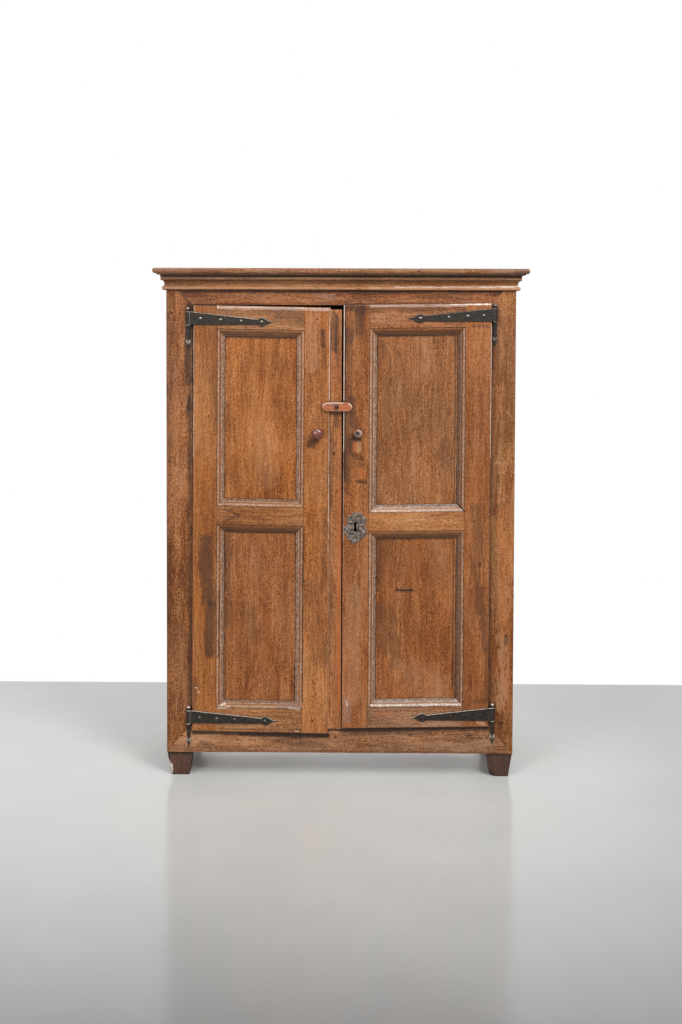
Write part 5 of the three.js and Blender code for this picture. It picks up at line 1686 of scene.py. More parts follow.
def carcass_boards() -> dict[str, OakFinish]:
    """The finish of each carcass board by its node's name.

    Returns:
        The finishes.
    """
    left_post = marks(
        # These five marks are painted shade along the inner edge beside the left door, darkest round the
        # upper pintle.
        ("GRIME", -506, 1505, -507, 1330, 8, 13, 0.75, 8, 0.5),
        ("GRIME", -502, 1340, -503, 1240, 3, 12, 0.6, 8, 0.5),
        ("GRIME", -500, 1580, -500, 1520, 6, 14, 0.8, 6, 0.4),
        ("GRIME", -503, 1280, -504, 800, 1, 14, 0.62, 10, 0.6),
        ("GRIME", -501, 780, -501, 200, 2, 11, 0.55, 8, 0.6),
        ("STAIN", -574, 1600, -574, 120, 2, 12, 0.3, 6, 0.6),
        ("GRIME", -563, 1560, -563, 1558, 1.6, 2.5, 0.8, 1, 0),
        ("DUSK", -530, 480, -520, 250, 10, 40, 0.22, 26, 0.8),
        ("DUSK", -560, 1380, -560, 1120, 4, 22, 0.22, 14, 0.8),
        # Painted shade along the outer arris.
        ("GRIME", -581.6, 1632, -581.6, 84, 0.5, 1.6, 0.28, 1.2, 0.6),
        ("CRACK", -541, 1634.5, -500.5, 1591.5, 0.25, 1.1, 0.95, 0.8, 0.1),
    )
    right_post = marks(
        # The first mark is painted shade beside the right door at the upper pintle.
        ("GRIME", 501, 1560, 503, 1380, 3, 8, 0.55, 8), ("STAIN", 556, 1010, 556, 860, 6, 30, 0.22, 26, 0.8),
        ("STAIN", 512, 1560, 512, 900, 6, 20, 0.45, 16, 0.6),
        ("STAIN", 512, 900, 512, 540, 6, 18, 0.3, 16, 0.6),
        ("STAIN", 560, 1520, 560, 1150, 14, 26, 0.28, 20, 0.6),
        ("WARM", 550, 900, 550, 240, 10, 20, 0.22, 16, 1),
        ("PALE", 545, 470, 545, 240, 4, 24, 0.34, 20, 1.4, 110),
        ("GRIME", 559, 480, 557, 452, 1.5, 8, 0.55, 7, 0.8),
        ("GRIME", 557, 486, 556, 478, 0.8, 3, 0.6, 3, 0.4), ("GRIME", 561, 606, 562, 598, 1.2, 4, 0.5, 4),
        ("GRIME", 554, 372, 554, 368, 1, 3, 0.5, 2), ("GRIME", 541, 186, 541, 184, 1.8, 2.2, 0.85, 1, 0),
        ("STAIN", 506, 400, 506, 210, 1, 9, 0.55, 6, 0.5), ("PALE", 520, 1062, 556, 1060, 1, 7, 0.25, 12),
        # Painted shade along the outer arris.
        ("GRIME", 581.6, 1632, 581.6, 84, 0.5, 1.6, 0.28, 1.2, 0.6),
    )
    low_rail = marks(
        ("GRIME", 428, 139, 440, 142, 1.5, 3, 0.8, 3, 0.5),
        ("GRIME", 491, 138, 492, 138, 1, 2.5, 0.6, 2, 0.2),
        ("GRIME", -16, 133, -12, 135, 1.8, 2.5, 0.8, 2, 0.2),
        ("GRIME", 14, 140, 18, 140, 1, 2.5, 0.7, 2, 0.2),
        ("GRIME", -240, 139, -234, 138, 1.2, 2.5, 0.7, 2, 0.2),
        ("GRIME", -134, 124, -130, 124, 1.5, 4, 0.5, 4), ("GRIME", 272, 137, 277, 137, 1.5, 4, 0.5, 4),
        ("GRIME", 232, 142, 246, 143, 1.5, 3, 0.7, 3, 0.5),
        ("DUSK", -200, 120, -60, 108, 4, 24, 0.4, 22, 0.9),
        ("DUSK", -470, 112, -440, 96, 4, 14, 0.45, 14, 0.9),
        # Painted shadow that the doors cast on the rail: the dark bands from here to the dusk band under the
        # right door.
        ("GRIME", -492, 148, -40, 140, 2, 11, 0.85, 3, 0.2),
        ("GRIME", -330, 143, -44, 137, 3, 12, 0.7, 4, 0.3), ("GRIME", -38, 158, 6, 158, 1, 7, 0.8, 3, 0.2),
        ("GRIME", 8, 160, 496, 168, 2, 12, 0.85, 3, 0.2), ("GRIME", 20, 158, 330, 162, 2, 12, 0.6, 4, 0.3),
        ("DUSK", 8, 150, 300, 150, 2, 14, 0.5, 8, 0.5), ("STAIN", -520, 84, 520, 84, 1, 6, 0.35, 6),
        ("GREY", 120, 108, 500, 104, 4, 22, 0.22, 16, 0.7),
    )
    top_rail = marks(
        ("DUSK", 280, 1618, 430, 1616, 2, 14, 0.35, 12, 0.7), ("GREY", -78, 1618, -18, 1614, 2, 9, 0.4, 8, 1),
        ("PALE", -128, 1602, -126, 1600, 0.6, 2, 0.8, 1, 0.3),
        ("GRIME", 386, 1609, 392, 1610, 0.8, 2.4, 0.7, 2, 0.3),
        ("GRIME", 95, 1613, 99, 1613, 0.8, 2.2, 0.5, 2, 0.2),
        ("GRIME", -358, 1617, -352, 1617, 0.6, 2.2, 0.6, 2),
        # Painted shadow under the cornice.
        ("GRIME", -575, 1630, 575, 1633, 1.5, 5, 0.6, 3, 0.3),
        # Painted shade in the gap above both doors, this line and the next.
        ("GRIME", -490, 1589, -330, 1590, 0.5, 2, 0.7, 1.5, 0.3),
        ("STAIN", -330, 1590, 490, 1592, 0.5, 4, 0.45, 2, 0.4),
        ("CRACK", -541, 1634.5, -500.5, 1591.5, 0.25, 1.1, 0.95, 0.8, 0.1),
    )
    cornice = marks(
        # Painted light on the moulding: the dark lines at the neck, under the fillet, under the top board and
        # under the bead are painted shade, and the pale and bright bands on the cove and bead are painted
        # highlight.
        ("STAIN", -590, 1661, 590, 1661, 3, 6, 0.5, 3, 0.5),
        ("GREY", -590, 1676, 590, 1676, 3, 3, 0.3, 2, 1, 200),
        ("PALE", -590, 1643, 120, 1643, 3.5, 4, 0.5, 2, 1, 160),
        ("PALE", 100, 1643, 594, 1644, 4.5, 4, 0.55, 2, 0.9, 160),
        ("BRIGHT", 180, 1647.5, 470, 1648.5, 0.6, 2.4, 0.6, 1.5, 1.5, 260),
        ("BRIGHT", 440, 1648, 594, 1649, 1, 2.6, 0.85, 1.5, 1.2, 260),
        ("GRIME", -592, 1669, 592, 1670, 0.8, 2.2, 0.8, 1.5, 0.3),
        ("GRIME", -592, 1681, 592, 1681, 0.8, 2.4, 0.85, 1, 0.3),
        ("GRIME", -592, 1637, 592, 1637, 0.5, 1.8, 0.7, 1.5, 0.4),
    )
    board_edge = marks(
        ("GREY", -616, 1704, -380, 1705, 1, 2.6, 0.5, 2, 0.6),
        # Painted shade under the board's nose.
        ("GRIME", -604, 1683, 604, 1683, 1.6, 2.5, 0.9, 1.5, 0.2),
        ("GRIME", 252, 1699, 260, 1698, 0.9, 2.4, 0.75, 2, 0.4),
        ("GREY", -600, 1688, 612, 1688, 0.8, 2.2, 0.3, 1.5, 1.2, 220),
        ("GREY", 500, 1698, 616, 1698, 4, 7, 0.4, 4, 0.7), ("DUSK", 575, 1696, 620, 1696, 3, 7, 0.55, 3, 0.5),
    )
    boards = {
        "front_top_rail": OakFinish((123, 72, 38), Grain.ACROSS, 1.3, 1.9, strokes=top_rail),
        "front_bottom_rail": OakFinish((138, 92, 59), Grain.ACROSS, 2.6, 1.8, strokes=low_rail),
        "left_front_post": OakFinish((132, 79, 40), seed=3.1, contrast=1.9, strokes=left_post),
        "right_front_post": OakFinish((140, 88, 48), seed=4.4, contrast=1.7, strokes=right_post),
        "front_cornice": OakFinish((150, 98, 56), Grain.ACROSS, 5.2, dirt=0.6, wear_reach=2.0, level_wear=0.3,
                                   strokes=cornice),
        "top_board": OakFinish((130, 86, 58), Grain.ACROSS, 6.7, roughness=0.5, wear=0.35, level_wear=0.3,
                               strokes=board_edge),
    }
    for side in Side:
        shift = 10.0 if side is Side.LEFT else 20.0
        boards[f"{side.word}_cornice_return"] = OakFinish((156, 104, 66), Grain.DEEP, shift, dirt=0.6,
                                                          level_wear=0.5)
        boards[f"{side.word}_rear_post"] = OakFinish((112, 72, 44), seed=shift + 1, roughness=0.6)
        for index, place in enumerate(("top", "mid", "bottom")):
            boards[f"{side.word}_side_{place}_rail"] = OakFinish((136, 85, 50), Grain.DEEP, shift + 2 + index)
        boards[f"{side.word}_side_upper_panel"] = OakFinish((140, 88, 50), seed=shift + 6)
        boards[f"{side.word}_side_lower_panel"] = OakFinish((132, 81, 46), seed=shift + 7)
    dry = ("rear_top_rail", "rear_bottom_rail", "floor_board", "lower_shelf", "upper_shelf")
    for seed, node in enumerate(dry, 31):
        boards[node] = OakFinish((122, 86, 58), Grain.ACROSS, seed, 1.2, roughness=0.62, wear=0.3)
    backs = (((112, 78, 52), -521.0, -174.8), ((130, 94, 66), -183.1, 173.1), ((119, 82, 54), 164.8, 521.0))
    for index, (colour, left, right) in enumerate(backs, 1):
        seams = marks(*(("CRACK", x, 1678, x, 84, 1.2, 1.6, 0.95, 0.6, 0.1) for x in (left, right)))
        boards[f"back_board_{index}"] = OakFinish(colour, seed=35.0 + index, contrast=1.2, roughness=0.62,
                                                  wear=0.3, strokes=seams)
    return boards


def left_leaf_boards() -> dict[str, OakFinish]:
    """The finish of each board of the left door by its node's name.

    Returns:
        The finishes.
    """
    hinge = marks(
        ("DUSK", -450, 800, -440, 600, 8, 26, 0.7, 16, 0.6),
        ("DUSK", -434, 580, -438, 420, 5, 26, 0.72, 14, 0.5),
        ("STAIN", -484, 330, -488, 190, 3, 14, 0.45, 10, 0.6),
        ("GRIME", -440, 1218, -439, 1214, 1.5, 2.5, 0.5, 1, 0),
        ("STAIN", -424, 1500, -420, 1180, 3, 16, 0.25, 12, 0.7),
        ("BRIGHT", -483, 302, -479, 300, 0.5, 2.5, 0.6, 3, 0.6),
        ("BRIGHT", -476, 290, -470, 284, 0.4, 2.5, 0.55, 4, 0.6),
        # Painted highlight on the hinge-side arris, this line and the next.
        ("BRIGHT", -489.2, 1584, -489.4, 1568, 0.8, 1.2, 0.85, 0.6, 0.2),
        ("BRIGHT", -489.9, 1514, -491.6, 1080, 0.7, 1.2, 0.7, 0.8, 1, 200),
        # Painted shade in the gap under the top rail.
        ("GRIME", -488, 1584.5, -412, 1583, 0.6, 2, 0.6, 1, 0.5),
        ("GRIME", -405, 630, -406, 402, 1, 4, 0.5, 2, 0.6),
        ("WARM", -492, 1060, -494.6, 320, 1.2, 2.6, 0.5, 0.8, 0.6),
        ("GRIME", -494, 156, -400, 156, 0.3, 1.5, 0.6, 1, 0.3),
    )
    meeting = marks(
        ("STAIN", -58, 1500, -52, 1380, 2, 12, 0.35, 12, 0.8),
        ("STAIN", -70, 1200, -56, 1196, 8, 18, 0.25, 14, 0.8),
        ("STAIN", -52, 900, -54, 640, 3, 14, 0.4, 14, 0.7), ("GRIME", -61, 748, -61, 726, 1.5, 5, 0.4, 5),
        ("GRIME", -47, 610, -47, 592, 1.5, 5, 0.4, 5), ("GRIME", -74, 548, -74, 520, 1.5, 6, 0.35, 6),
        ("DUSK", -92, 640, -66, 400, 10, 34, 0.3, 24, 0.6),
        # Painted shadow of the left knob, below and to its left.
        ("DUSK", -84, 1136, -92, 1120, 6, 12, 0.4, 8, 0.5),
        # Painted highlight along the top of the door, this line and the next.
        ("BLOOM", -119, 1572.5, -40, 1571, 2.6, 3.6, 0.6, 2, 1, 160),
        ("BRIGHT", -119, 1575, -44, 1573.6, 0.4, 1.6, 0.45, 1, 1.4, 260),
        ("PALE", -92, 1543, -92, 1387, 8, 24, 0.22, 14, 0.8),
        ("GRIME", -60, 1502, -59, 1448, 1.2, 5, 0.6, 4, 0.6),
        # Painted shadow of the left knob.
        ("GRIME", -84, 1140, -104, 1122, 7, 11, 0.6, 6, 0.4),
        ("GRIME", -124, 836, -127, 258, 1.5, 4, 0.5, 2, 0.6),
        # Painted highlight along the meeting-edge arris in these four lines.
        ("BRIGHT", -36, 1576, -37.4, 1270, 0.7, 1.2, 0.66, 0.8, 1, 200),
        ("GREY", -37.5, 1232, -39.4, 980, 2, 2.6, 0.6, 1.5, 1.3, 200),
        ("BRIGHT", -37, 1180, -40.2, 760, 0.4, 1.2, 0.5, 0.8, 1.8, 220),
        ("PALE", -39.6, 900, -41.6, 170, 0.5, 1.2, 0.4, 0.8, 1.6, 200),
        ("GRIME", -42.4, 1200, -44.6, 400, 0.4, 1.6, 0.4, 1, 1),
    )
    top = marks(
        ("STAIN", -400, 1562, -60, 1556, 4, 16, 0.3, 12, 0.8),
        ("DUSK", -200, 1556, -120, 1540, 10, 22, 0.3, 18, 0.7),
        # Painted highlight along the top of the door, these three lines.
        ("BLOOM", -406, 1578, -122, 1573.5, 2.6, 4, 0.48, 2.5, 1.1, 160),
        ("BRIGHT", -400, 1579.5, -122, 1576, 0.4, 1.8, 0.4, 1.4, 1.6, 260),
        ("BRIGHT", -408.5, 1584, -408.5, 1576, 0.9, 1.6, 0.8, 1, 0.2),
    )
    middle = marks(
        ("DUSK", -388, 905, -340, 885, 1.5, 6, 0.6, 6, 0.6),
        ("DUSK", -388, 862, -340, 885, 1.5, 6, 0.5, 6, 0.6), ("GRIME", -386, 917, -380, 914, 1.2, 3, 0.6, 3),
        ("STAIN", -320, 878, -230, 868, 1, 7, 0.25, 8, 0.8),
    )
    bottom = marks(
        ("BRIGHT", -408, 232, -372, 236, 0.6, 3, 0.8, 4, 0.9),
        ("BRIGHT", -400, 242, -384, 246, 0.4, 2.4, 0.7, 4, 0.9),
        ("GREY", -205, 240, -130, 236, 3, 6, 0.7, 5, 1),
        ("BRIGHT", -170, 234, -134, 230, 0.5, 2.5, 0.6, 4, 1),
        ("GREY", -172, 194, -166, 194, 1, 3, 0.5, 3, 0.8),
        ("BRIGHT", -150, 156, -136, 155.5, 0.4, 1.2, 0.8, 1, 0.5),
        ("STAIN", -400, 162, -130, 160, 1, 6, 0.35, 4, 0.6),
    )
    strip = marks(
        ("GRIME", -14, 1552, -17, 1430, 1.5, 6, 0.6, 7, 0.8),
        # The second mark on this line and the dusk mark two lines down are painted shadow under the turn
        # button.
        ("DUSK", -22, 1560, -24, 1440, 5, 8, 0.55, 6, 0.7), ("GRIME", -34, 1230, 8, 1229, 5, 9, 0.6, 5, 0.3),
        ("DUSK", -10, 1543, -12, 1380, 2, 7, 0.45, 8, 0.8),
        ("DUSK", -16, 1230, -12, 1190, 5, 14, 0.55, 10, 0.5),
        ("STAIN", -26, 1180, -28, 900, 1, 6, 0.4, 6, 0.9),
        ("GRIME", -31, 1140, -31, 1136, 1.2, 2.5, 0.6, 1, 0.2),
        ("GRIME", -23, 1095, -22, 1090, 1, 2.2, 0.8, 1, 0), ("STAIN", -28, 700, -30, 420, 1, 7, 0.4, 7, 0.8),
        # Painted shade along the strip's left edge, beside the step down from the left door's face.
        ("GRIME", -33.6, 1560, -33.8, 200, 0.5, 1.6, 0.6, 0.8, 0.7),
        ("WARM", -3, 1000, -4, 220, 4, 7, 0.4, 4, 0.7),
    )
    lower = sunk_edge_dirt_and_shade((-389, 828), (-148, 824), (-391, 259), (-151, 255)) + marks(
        ("DUSK", -378, 820, -376, 520, 3, 20, 0.4, 16, 0.6),
        ("DUSK", -300, 560, -280, 480, 8, 40, 0.28, 30, 0.8),
        # Dirt and painted shade along the panel's top and side edges, these three lines.
        ("GRIME", -388, 828, -150, 826, 1, 8, 0.5, 5, 0.4),
        ("GRIME", -386, 820, -384, 250, 0.6, 3, 0.55, 2, 0.4),
        ("GRIME", -146, 820, -150, 250, 0.8, 3.4, 0.65, 2, 0.4),
    )
    upper = sunk_edge_dirt_and_shade((-386, 1482), (-145, 1478), (-388, 940), (-148, 936)) + marks(
        ("STAIN", -372, 1440, -374, 1000, 2, 12, 0.25, 14, 0.8),
        ("STAIN", -300, 1400, -180, 1380, 12, 46, 0.15, 36, 0.8),
        ("PALE", -250, 1180, -240, 1010, 8, 40, 0.14, 30, 0.9),
        # Dirt and painted shade along the panel's top and right edges, these two lines.
        ("GRIME", -386, 1480, -150, 1477, 1, 8, 0.5, 5, 0.4),
        ("GRIME", -146, 1480, -147, 930, 0.5, 2.6, 0.45, 2, 0.5),
    )
    face = LEFT_FACE_Y
    upright = Relief(face, upright=(142, 98, 70))
    return {
        "left_hinge_stile": OakFinish((148, 90, 44), seed=41.0, contrast=1.2, relief=upright, strokes=hinge),
        "left_meeting_stile": OakFinish((153, 93, 47), seed=42.3, relief=upright, strokes=meeting),
        "left_top_rail": OakFinish((148, 99, 62), Grain.ACROSS, 43.1, relief=Relief(face, 1560), strokes=top),
        "left_mid_rail": OakFinish((135, 84, 44), Grain.ACROSS, 44.5, relief=Relief(face, 882),
                                   strokes=middle),
        "left_bottom_rail": OakFinish((149, 99, 60), Grain.ACROSS, 45.6, relief=Relief(face, 200),
                                      strokes=bottom),
        "left_upper_panel": OakFinish((148, 87, 39), seed=46.2, strokes=upper),
        "left_lower_panel": OakFinish((137, 81, 41), seed=47.9, strokes=lower),
        "closing_strip": OakFinish((149, 92, 51), seed=48.4, strokes=strip),
    }


def right_leaf_boards() -> dict[str, OakFinish]:
    """The finish of each board of the right door by its node's name.

    Returns:
        The finishes.
    """
    meeting = marks(
        ("GRIME", 17, 1584, 70, 1572, 8, 20, 0.75, 16, 0.5),
        ("DUSK", 60, 1560, 58, 1500, 8, 26, 0.6, 18, 0.6),
        ("GREY", 20, 1590, 86, 1590, 0.8, 2.2, 0.6, 1.5, 0.9),
        ("DUSK", 30, 1540, 30, 1470, 6, 16, 0.4, 14, 0.7), ("DUSK", 38, 1275, 36, 1255, 5, 14, 0.6, 10),
        # The second mark on this line is painted shadow under the peg knob.
        ("DUSK", 36, 1235, 46, 1190, 6, 18, 0.6, 14, 0.7), ("GRIME", 48, 1146, 60, 1140, 6, 8, 0.8, 4, 0.3),
        ("GRIME", 36, 1136, 38, 1100, 2, 8, 0.5, 8, 0.6),
        ("WARM", 47, 1128, 47, 1106, 6, 2.5, 0.45, 1.5, 0.2, 90),
        ("PALE", 60, 1129, 62, 1105, 7, 2.5, 0.4, 1.5, 0.2, 90),
        ("GRIME", 48, 1088, 64, 1078, 5, 12, 0.5, 8, 0.5), ("DUSK", 66, 1060, 70, 1050, 4, 12, 0.4, 8, 0.5),
        ("WARM", 70, 1040, 74, 1018, 5, 7, 0.5, 6, 0.4, 90), ("GRIME", 62, 1000, 86, 998, 2, 6, 0.6, 6, 0.6),
        ("DUSK", 20, 1120, 20, 960, 2, 9, 0.5, 8, 0.8), ("GREY", 22, 262, 26, 196, 5, 14, 0.45, 10, 0.9),
        ("BRIGHT", 20, 262, 26, 244, 0.4, 3, 0.6, 6, 0.8), ("DUSK", 24, 1500, 22, 1010, 9, 16, 0.42, 12, 0.6),
        ("PALE", 44, 640, 44, 270, 12, 26, 0.2, 18, 0.7),
        # Painted highlight along the meeting-edge arris, these three lines.
        ("BRIGHT", 11, 1590, 10.6, 1270, 0.8, 1, 0.9, 0.5, 0.5, 200),
        ("BRIGHT", 10.6, 1232, 10.2, 1100, 0.7, 1, 0.75, 0.5, 1.1, 220),
        ("BLOOM", 10.2, 1110, 9.6, 800, 0.6, 1.2, 0.55, 0.8, 1.4, 220),
        ("GRIME", 15.6, 1570, 14.6, 1000, 1.1, 1.8, 0.85, 0.8, 0.4),
    )
    hinge = marks(
        ("CRACK", 414, 901, 393, 924, 1.4, 1.6, 1, 0.6, 0),
        ("DUSK", 458, 912, 460, 670, 6, 26, 0.42, 16, 0.6), ("DUSK", 466, 640, 474, 560, 6, 22, 0.6, 14, 0.6),
        ("DUSK", 478, 540, 486, 440, 4, 18, 0.5, 14, 0.6), ("GRIME", 468, 726, 468, 716, 2, 6, 0.6, 4, 0.4),
        ("STAIN", 490, 440, 492, 260, 2, 10, 0.4, 8, 0.7),
        ("DUSK", 440, 1520, 488, 1517, 1.5, 8, 0.55, 5, 0.7), ("PALE", 440, 860, 440, 858, 1, 4, 0.25, 2),
        # Painted highlight along the top of the door.
        ("BRIGHT", 416, 1590, 494, 1591.5, 1.2, 2.2, 0.95, 2, 0.9, 160),
        # Painted highlight on the hinge-side arris.
        ("BRIGHT", 499.8, 1528, 499.2, 1080, 0.6, 1.2, 0.65, 0.8, 0.7),
        ("GRIME", 498.6, 1060, 497.4, 182, 0.6, 2.2, 0.45, 0.8, 0.5),
        ("PALE", 462, 192, 486, 184, 2.5, 5, 0.6, 6, 0.9), ("DUSK", 450, 262, 486, 258, 3, 9, 0.4, 8, 0.8),
    )
    upper = sunk_edge_dirt_and_shade((121, 1485), (390, 1490), (120, 920), (389, 925)) + marks(
        ("CRACK", 164, 1420, 165, 1384, 0.6, 1.8, 0.8, 2, 0.3, 160),
        # The second mark here and the next line are dirt and painted shade along the panel's right edge.
        ("STAIN", 190, 1432, 196, 1420, 2, 7, 0.5, 6), ("GRIME", 392, 1486, 396, 1350, 1.5, 5, 0.65, 5, 0.4),
        ("GRIME", 381, 1486, 381, 930, 0.8, 2.6, 0.6, 1.5, 0.4),
        ("DUSK", 350, 1120, 356, 1060, 8, 30, 0.3, 24, 0.8),
        ("DUSK", 220, 1300, 260, 1240, 16, 56, 0.16, 46, 0.9),
        # Dirt and painted shade along the panel's top edge.
        ("GRIME", 122, 1486, 380, 1489, 1, 8, 0.5, 5, 0.4),
    )
    lower = sunk_edge_dirt_and_shade((120, 808), (389, 812), (119, 265), (388, 269)) + marks(
        ("DUSK", 182, 633, 248, 632, 2.5, 5, 0.5, 4, 0.8, 150),
        ("CRACK", 188, 634, 242, 634, 1.2, 2.4, 0.9, 3, 0.7, 150),
        ("GREY", 206, 638, 232, 637, 0.5, 1.8, 0.6, 3, 0.9, 200),
        ("DUSK", 130, 820, 130, 640, 4, 18, 0.35, 14, 0.7),
        ("DUSK", 156, 560, 160, 440, 8, 40, 0.42, 30, 0.7), ("DUSK", 186, 470, 186, 385, 6, 26, 0.4, 20, 0.7),
        ("STAIN", 150, 750, 370, 710, 30, 80, 0.22, 40, 0.6),
        # The second mark here and the next line are dirt and painted shade along the panel's top and right
        # edges.
        ("PALE", 240, 350, 320, 310, 20, 60, 0.16, 40, 0.7), ("GRIME", 122, 806, 380, 810, 1, 8, 0.5, 5, 0.4),
        ("GRIME", 380, 806, 378, 300, 0.8, 2.8, 0.6, 1.5, 0.4),
    )
    bottom = marks(
        ("WARM", 120, 214, 180, 222, 2, 6, 0.3, 6, 0.8), ("WARM", 296, 214, 380, 218, 2, 6, 0.35, 6, 0.8),
        ("STAIN", 100, 202, 104, 182, 1.5, 8, 0.4, 5, 0.6),
        ("CRACK", 416, 249, 394, 271, 2, 1.6, 0.9, 0.6, 0),
    )
    top = marks(
        ("DUSK", 100, 1572, 330, 1576, 3, 14, 0.35, 12, 0.8),
        ("WARM", 210, 1524, 330, 1530, 6, 20, 0.2, 16, 0.8),
        # Painted highlight along the top of the door, this line and the next.
        ("BLOOM", 92, 1584.5, 414, 1587.5, 2.2, 3.4, 0.6, 2, 1, 160),
        ("BRIGHT", 362, 1589, 414, 1590, 0.8, 2, 0.7, 1.6, 1.2, 220),
    )
    middle = marks(("CRACK", 414, 903, 390, 927, 2.2, 1.8, 1, 0.6, 0))
    face = RIGHT_FACE_Y
    # The paler foot tint and the lit colour below are painted highlight on the up-facing mouldings of the mid
    # and bottom rails.
    foot: Colour = (168, 139, 120)
    lit: Colour = (232, 216, 204)
    return {
        "right_meeting_stile": OakFinish((139, 83, 42), seed=51.0, strokes=meeting,
                                         relief=Relief(face, upright=(142, 106, 80))),
        # Its upright moulding is darker and shines less than the meeting stile's: painted shade on the side
        # that faces away from the light.
        "right_hinge_stile": OakFinish((140, 84, 45), seed=52.2, contrast=1.2, strokes=hinge,
                                       relief=Relief(face, upright=(116, 84, 62), shine=0.3)),
        "right_top_rail": OakFinish((128, 79, 45), Grain.ACROSS, 53.3, 1.8, relief=Relief(face, 1560),
                                    strokes=top),
        "right_mid_rail": OakFinish((160, 104, 61), Grain.ACROSS, 54.8, strokes=middle,
                                    relief=Relief(face, 866, foot=foot, lit=lit, rim=0.6)),
        "right_bottom_rail": OakFinish((135, 93, 66), Grain.ACROSS, 55.1, strokes=bottom,
                                       relief=Relief(face, 200, foot=foot, lit=lit, rim=0.95)),
        "right_upper_panel": OakFinish((133, 83, 47), seed=56.9, strokes=upper),
        "right_lower_panel": OakFinish((137, 80, 39), seed=57.5, strokes=lower),
    }


@dataclass
class Joinery:
    """The oak boards of the carcass and of both leaves, and the pegs in their joints."""

    carcass_pegs: tuple[Point, ...] = (
        (-563, 1560), (-521, 1640), (541, 1640), (545, 186), (431, 141), (-530, 136), (-14, 140), (237, 142),
        (-541, 640), (548, 840))
    left_pegs: tuple[Point, ...] = (
        (-440, 1217), (-452, 1545), (-446, 882), (-80, 886), (-446, 196), (-90, 190), (-78, 1540),
        (-22, 1092))
    right_pegs: tuple[Point, ...] = (
        (440, 1556), (60, 1552), (446, 868), (66, 238), (442, 226), (448, 720))
    peg_radius: float = 2.8
    peg_rise: float = 0.35
    peg_spread: float = 0.25
    peg_finish: OakFinish = OakFinish((58, 36, 25), seed=60.0, contrast=0.6, wear=0.1, wear_reach=0.5)
    strip_inner: float = -15.0
    strip_foot: float = 163.0
    strip_head: float = 1573.0
    strip_spread: float = 7.2

    def _widen_strip(self, shop: Workshop, node: str, material: bpy.types.Material) -> None:
        """Makes the closing strip wider towards its foot, where it nearly meets the right door.

        Args:
            shop: the shared tools.
            node: the strip's node.
            material: its oak.
        """
        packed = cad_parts[node]
        mesh = packed.data.copy()
        mesh.transform(packed.matrix_world)
        for vertex in mesh.vertices:
            if vertex.co.x > self.strip_inner * MM:
                low = (self.strip_head * MM - vertex.co.z) / ((self.strip_head - self.strip_foot) * MM)
                vertex.co.x += self.strip_spread * MM * low
        shop.hang(new_piece("closing_strip_board", mesh, material, smooth=False), "left_door", "oak", node)

    def build(self, shop: Workshop) -> None:
        """Dresses every board and sets the pegs.

        Args:
            shop: the shared tools.
        """
        for boards in (carcass_boards(), left_leaf_boards(), right_leaf_boards()):
            for node, finish in boards.items():
                material = finish.material(f"{node}_oak", shop.effects)
                shop.dress(node, material)
                if node == "closing_strip":
                    self._widen_strip(shop, node, material)
        wood = self.peg_finish.material("peg_oak", shop.effects)
        sets = (("carcass", self.carcass_pegs, CARCASS_FRONT_Y), ("left_door", self.left_pegs, LEFT_FACE_Y),
                ("right_door", self.right_pegs, RIGHT_FACE_Y))
        for seed, (body, places, face) in enumerate(sets):
            seats = [spot(x, face, z) for x, z in places]
            pegs = shop.heads.scatter(f"{body}_pegs", seats, self.peg_radius, self.peg_rise, seed, wood,
                                      self.peg_spread)
            shop.hang(pegs, body, "oak")


@dataclass(frozen=True)
class HingePlan:
    """One hinge's place, length and nails, and how bright its edge and its nails are."""

    side: Side
    level: str
    bottom: float
    reach: float
    nails_at: tuple[float, ...]
    edge: RubAndHighlight
    nails: RubAndHighlight


@dataclass
class Ironwork:
    """All the hinges, the lock and their fastenings.

    Left and right give the x of a hinge's axis and the y of a door's face.
    """

    left: Point = (-508.0, LEFT_FACE_Y)
    right: Point = (512.0, RIGHT_FACE_Y)
    nail_radius: float = 4.8
    nail_rise: float = 2.6
    nail_spread: float = 0.15
    first_seed: int = 21
    pintle_seed: int = 40
    plans: tuple[HingePlan, ...] = (
        HingePlan(Side.LEFT, "upper", 1520.2, 288.0, (42.0, 109.0, 177.0), RubAndHighlight.BRIGHT, RubAndHighlight.BRIGHT),
        HingePlan(Side.LEFT, "lower", 181.0, 300.0, (37.0, 95.0, 156.0), RubAndHighlight.BRIGHT, RubAndHighlight.DULL),
        HingePlan(Side.RIGHT, "upper", 1533.7, 291.0, (39.0, 92.0, 154.0), RubAndHighlight.DULL, RubAndHighlight.BRIGHT),
        HingePlan(Side.RIGHT, "lower", 196.0, 277.0, (41.0, 87.0, 140.0), RubAndHighlight.BRIGHT, RubAndHighlight.RUSTY),
    )

    def build(self, shop: Workshop) -> None:
        """Makes the straps, the pintles and the nails, and dresses the lock.

        Args:
            shop: the shared tools.
        """
        for seed, plan in enumerate(self.plans, self.first_seed):
            axis, face = self.left if plan.side is Side.LEFT else self.right
            strap = StrapHinge(plan.side, plan.level, axis, plan.bottom, face - FIT, seed, plan.reach,
                               plan.nails_at, plan.edge)
            strap.build(shop)
            Pintle(plan.side, plan.level, axis, plan.bottom, seed + self.pintle_seed, plan.edge).build(shop)
            name = f"{plan.side.word}_{plan.level}_strap_nails"
            nails = shop.heads.scatter(name, strap.nail_places(), self.nail_radius, self.nail_rise, seed,
                                       shop.nails[plan.nails], self.nail_spread)
            shop.hang(nails, f"{plan.side.word}_door", "iron")
        for node in ("lock_case", "lock_bolt"):
            shop.dress(node, shop.iron[RubAndHighlight.DULL])


# Studio

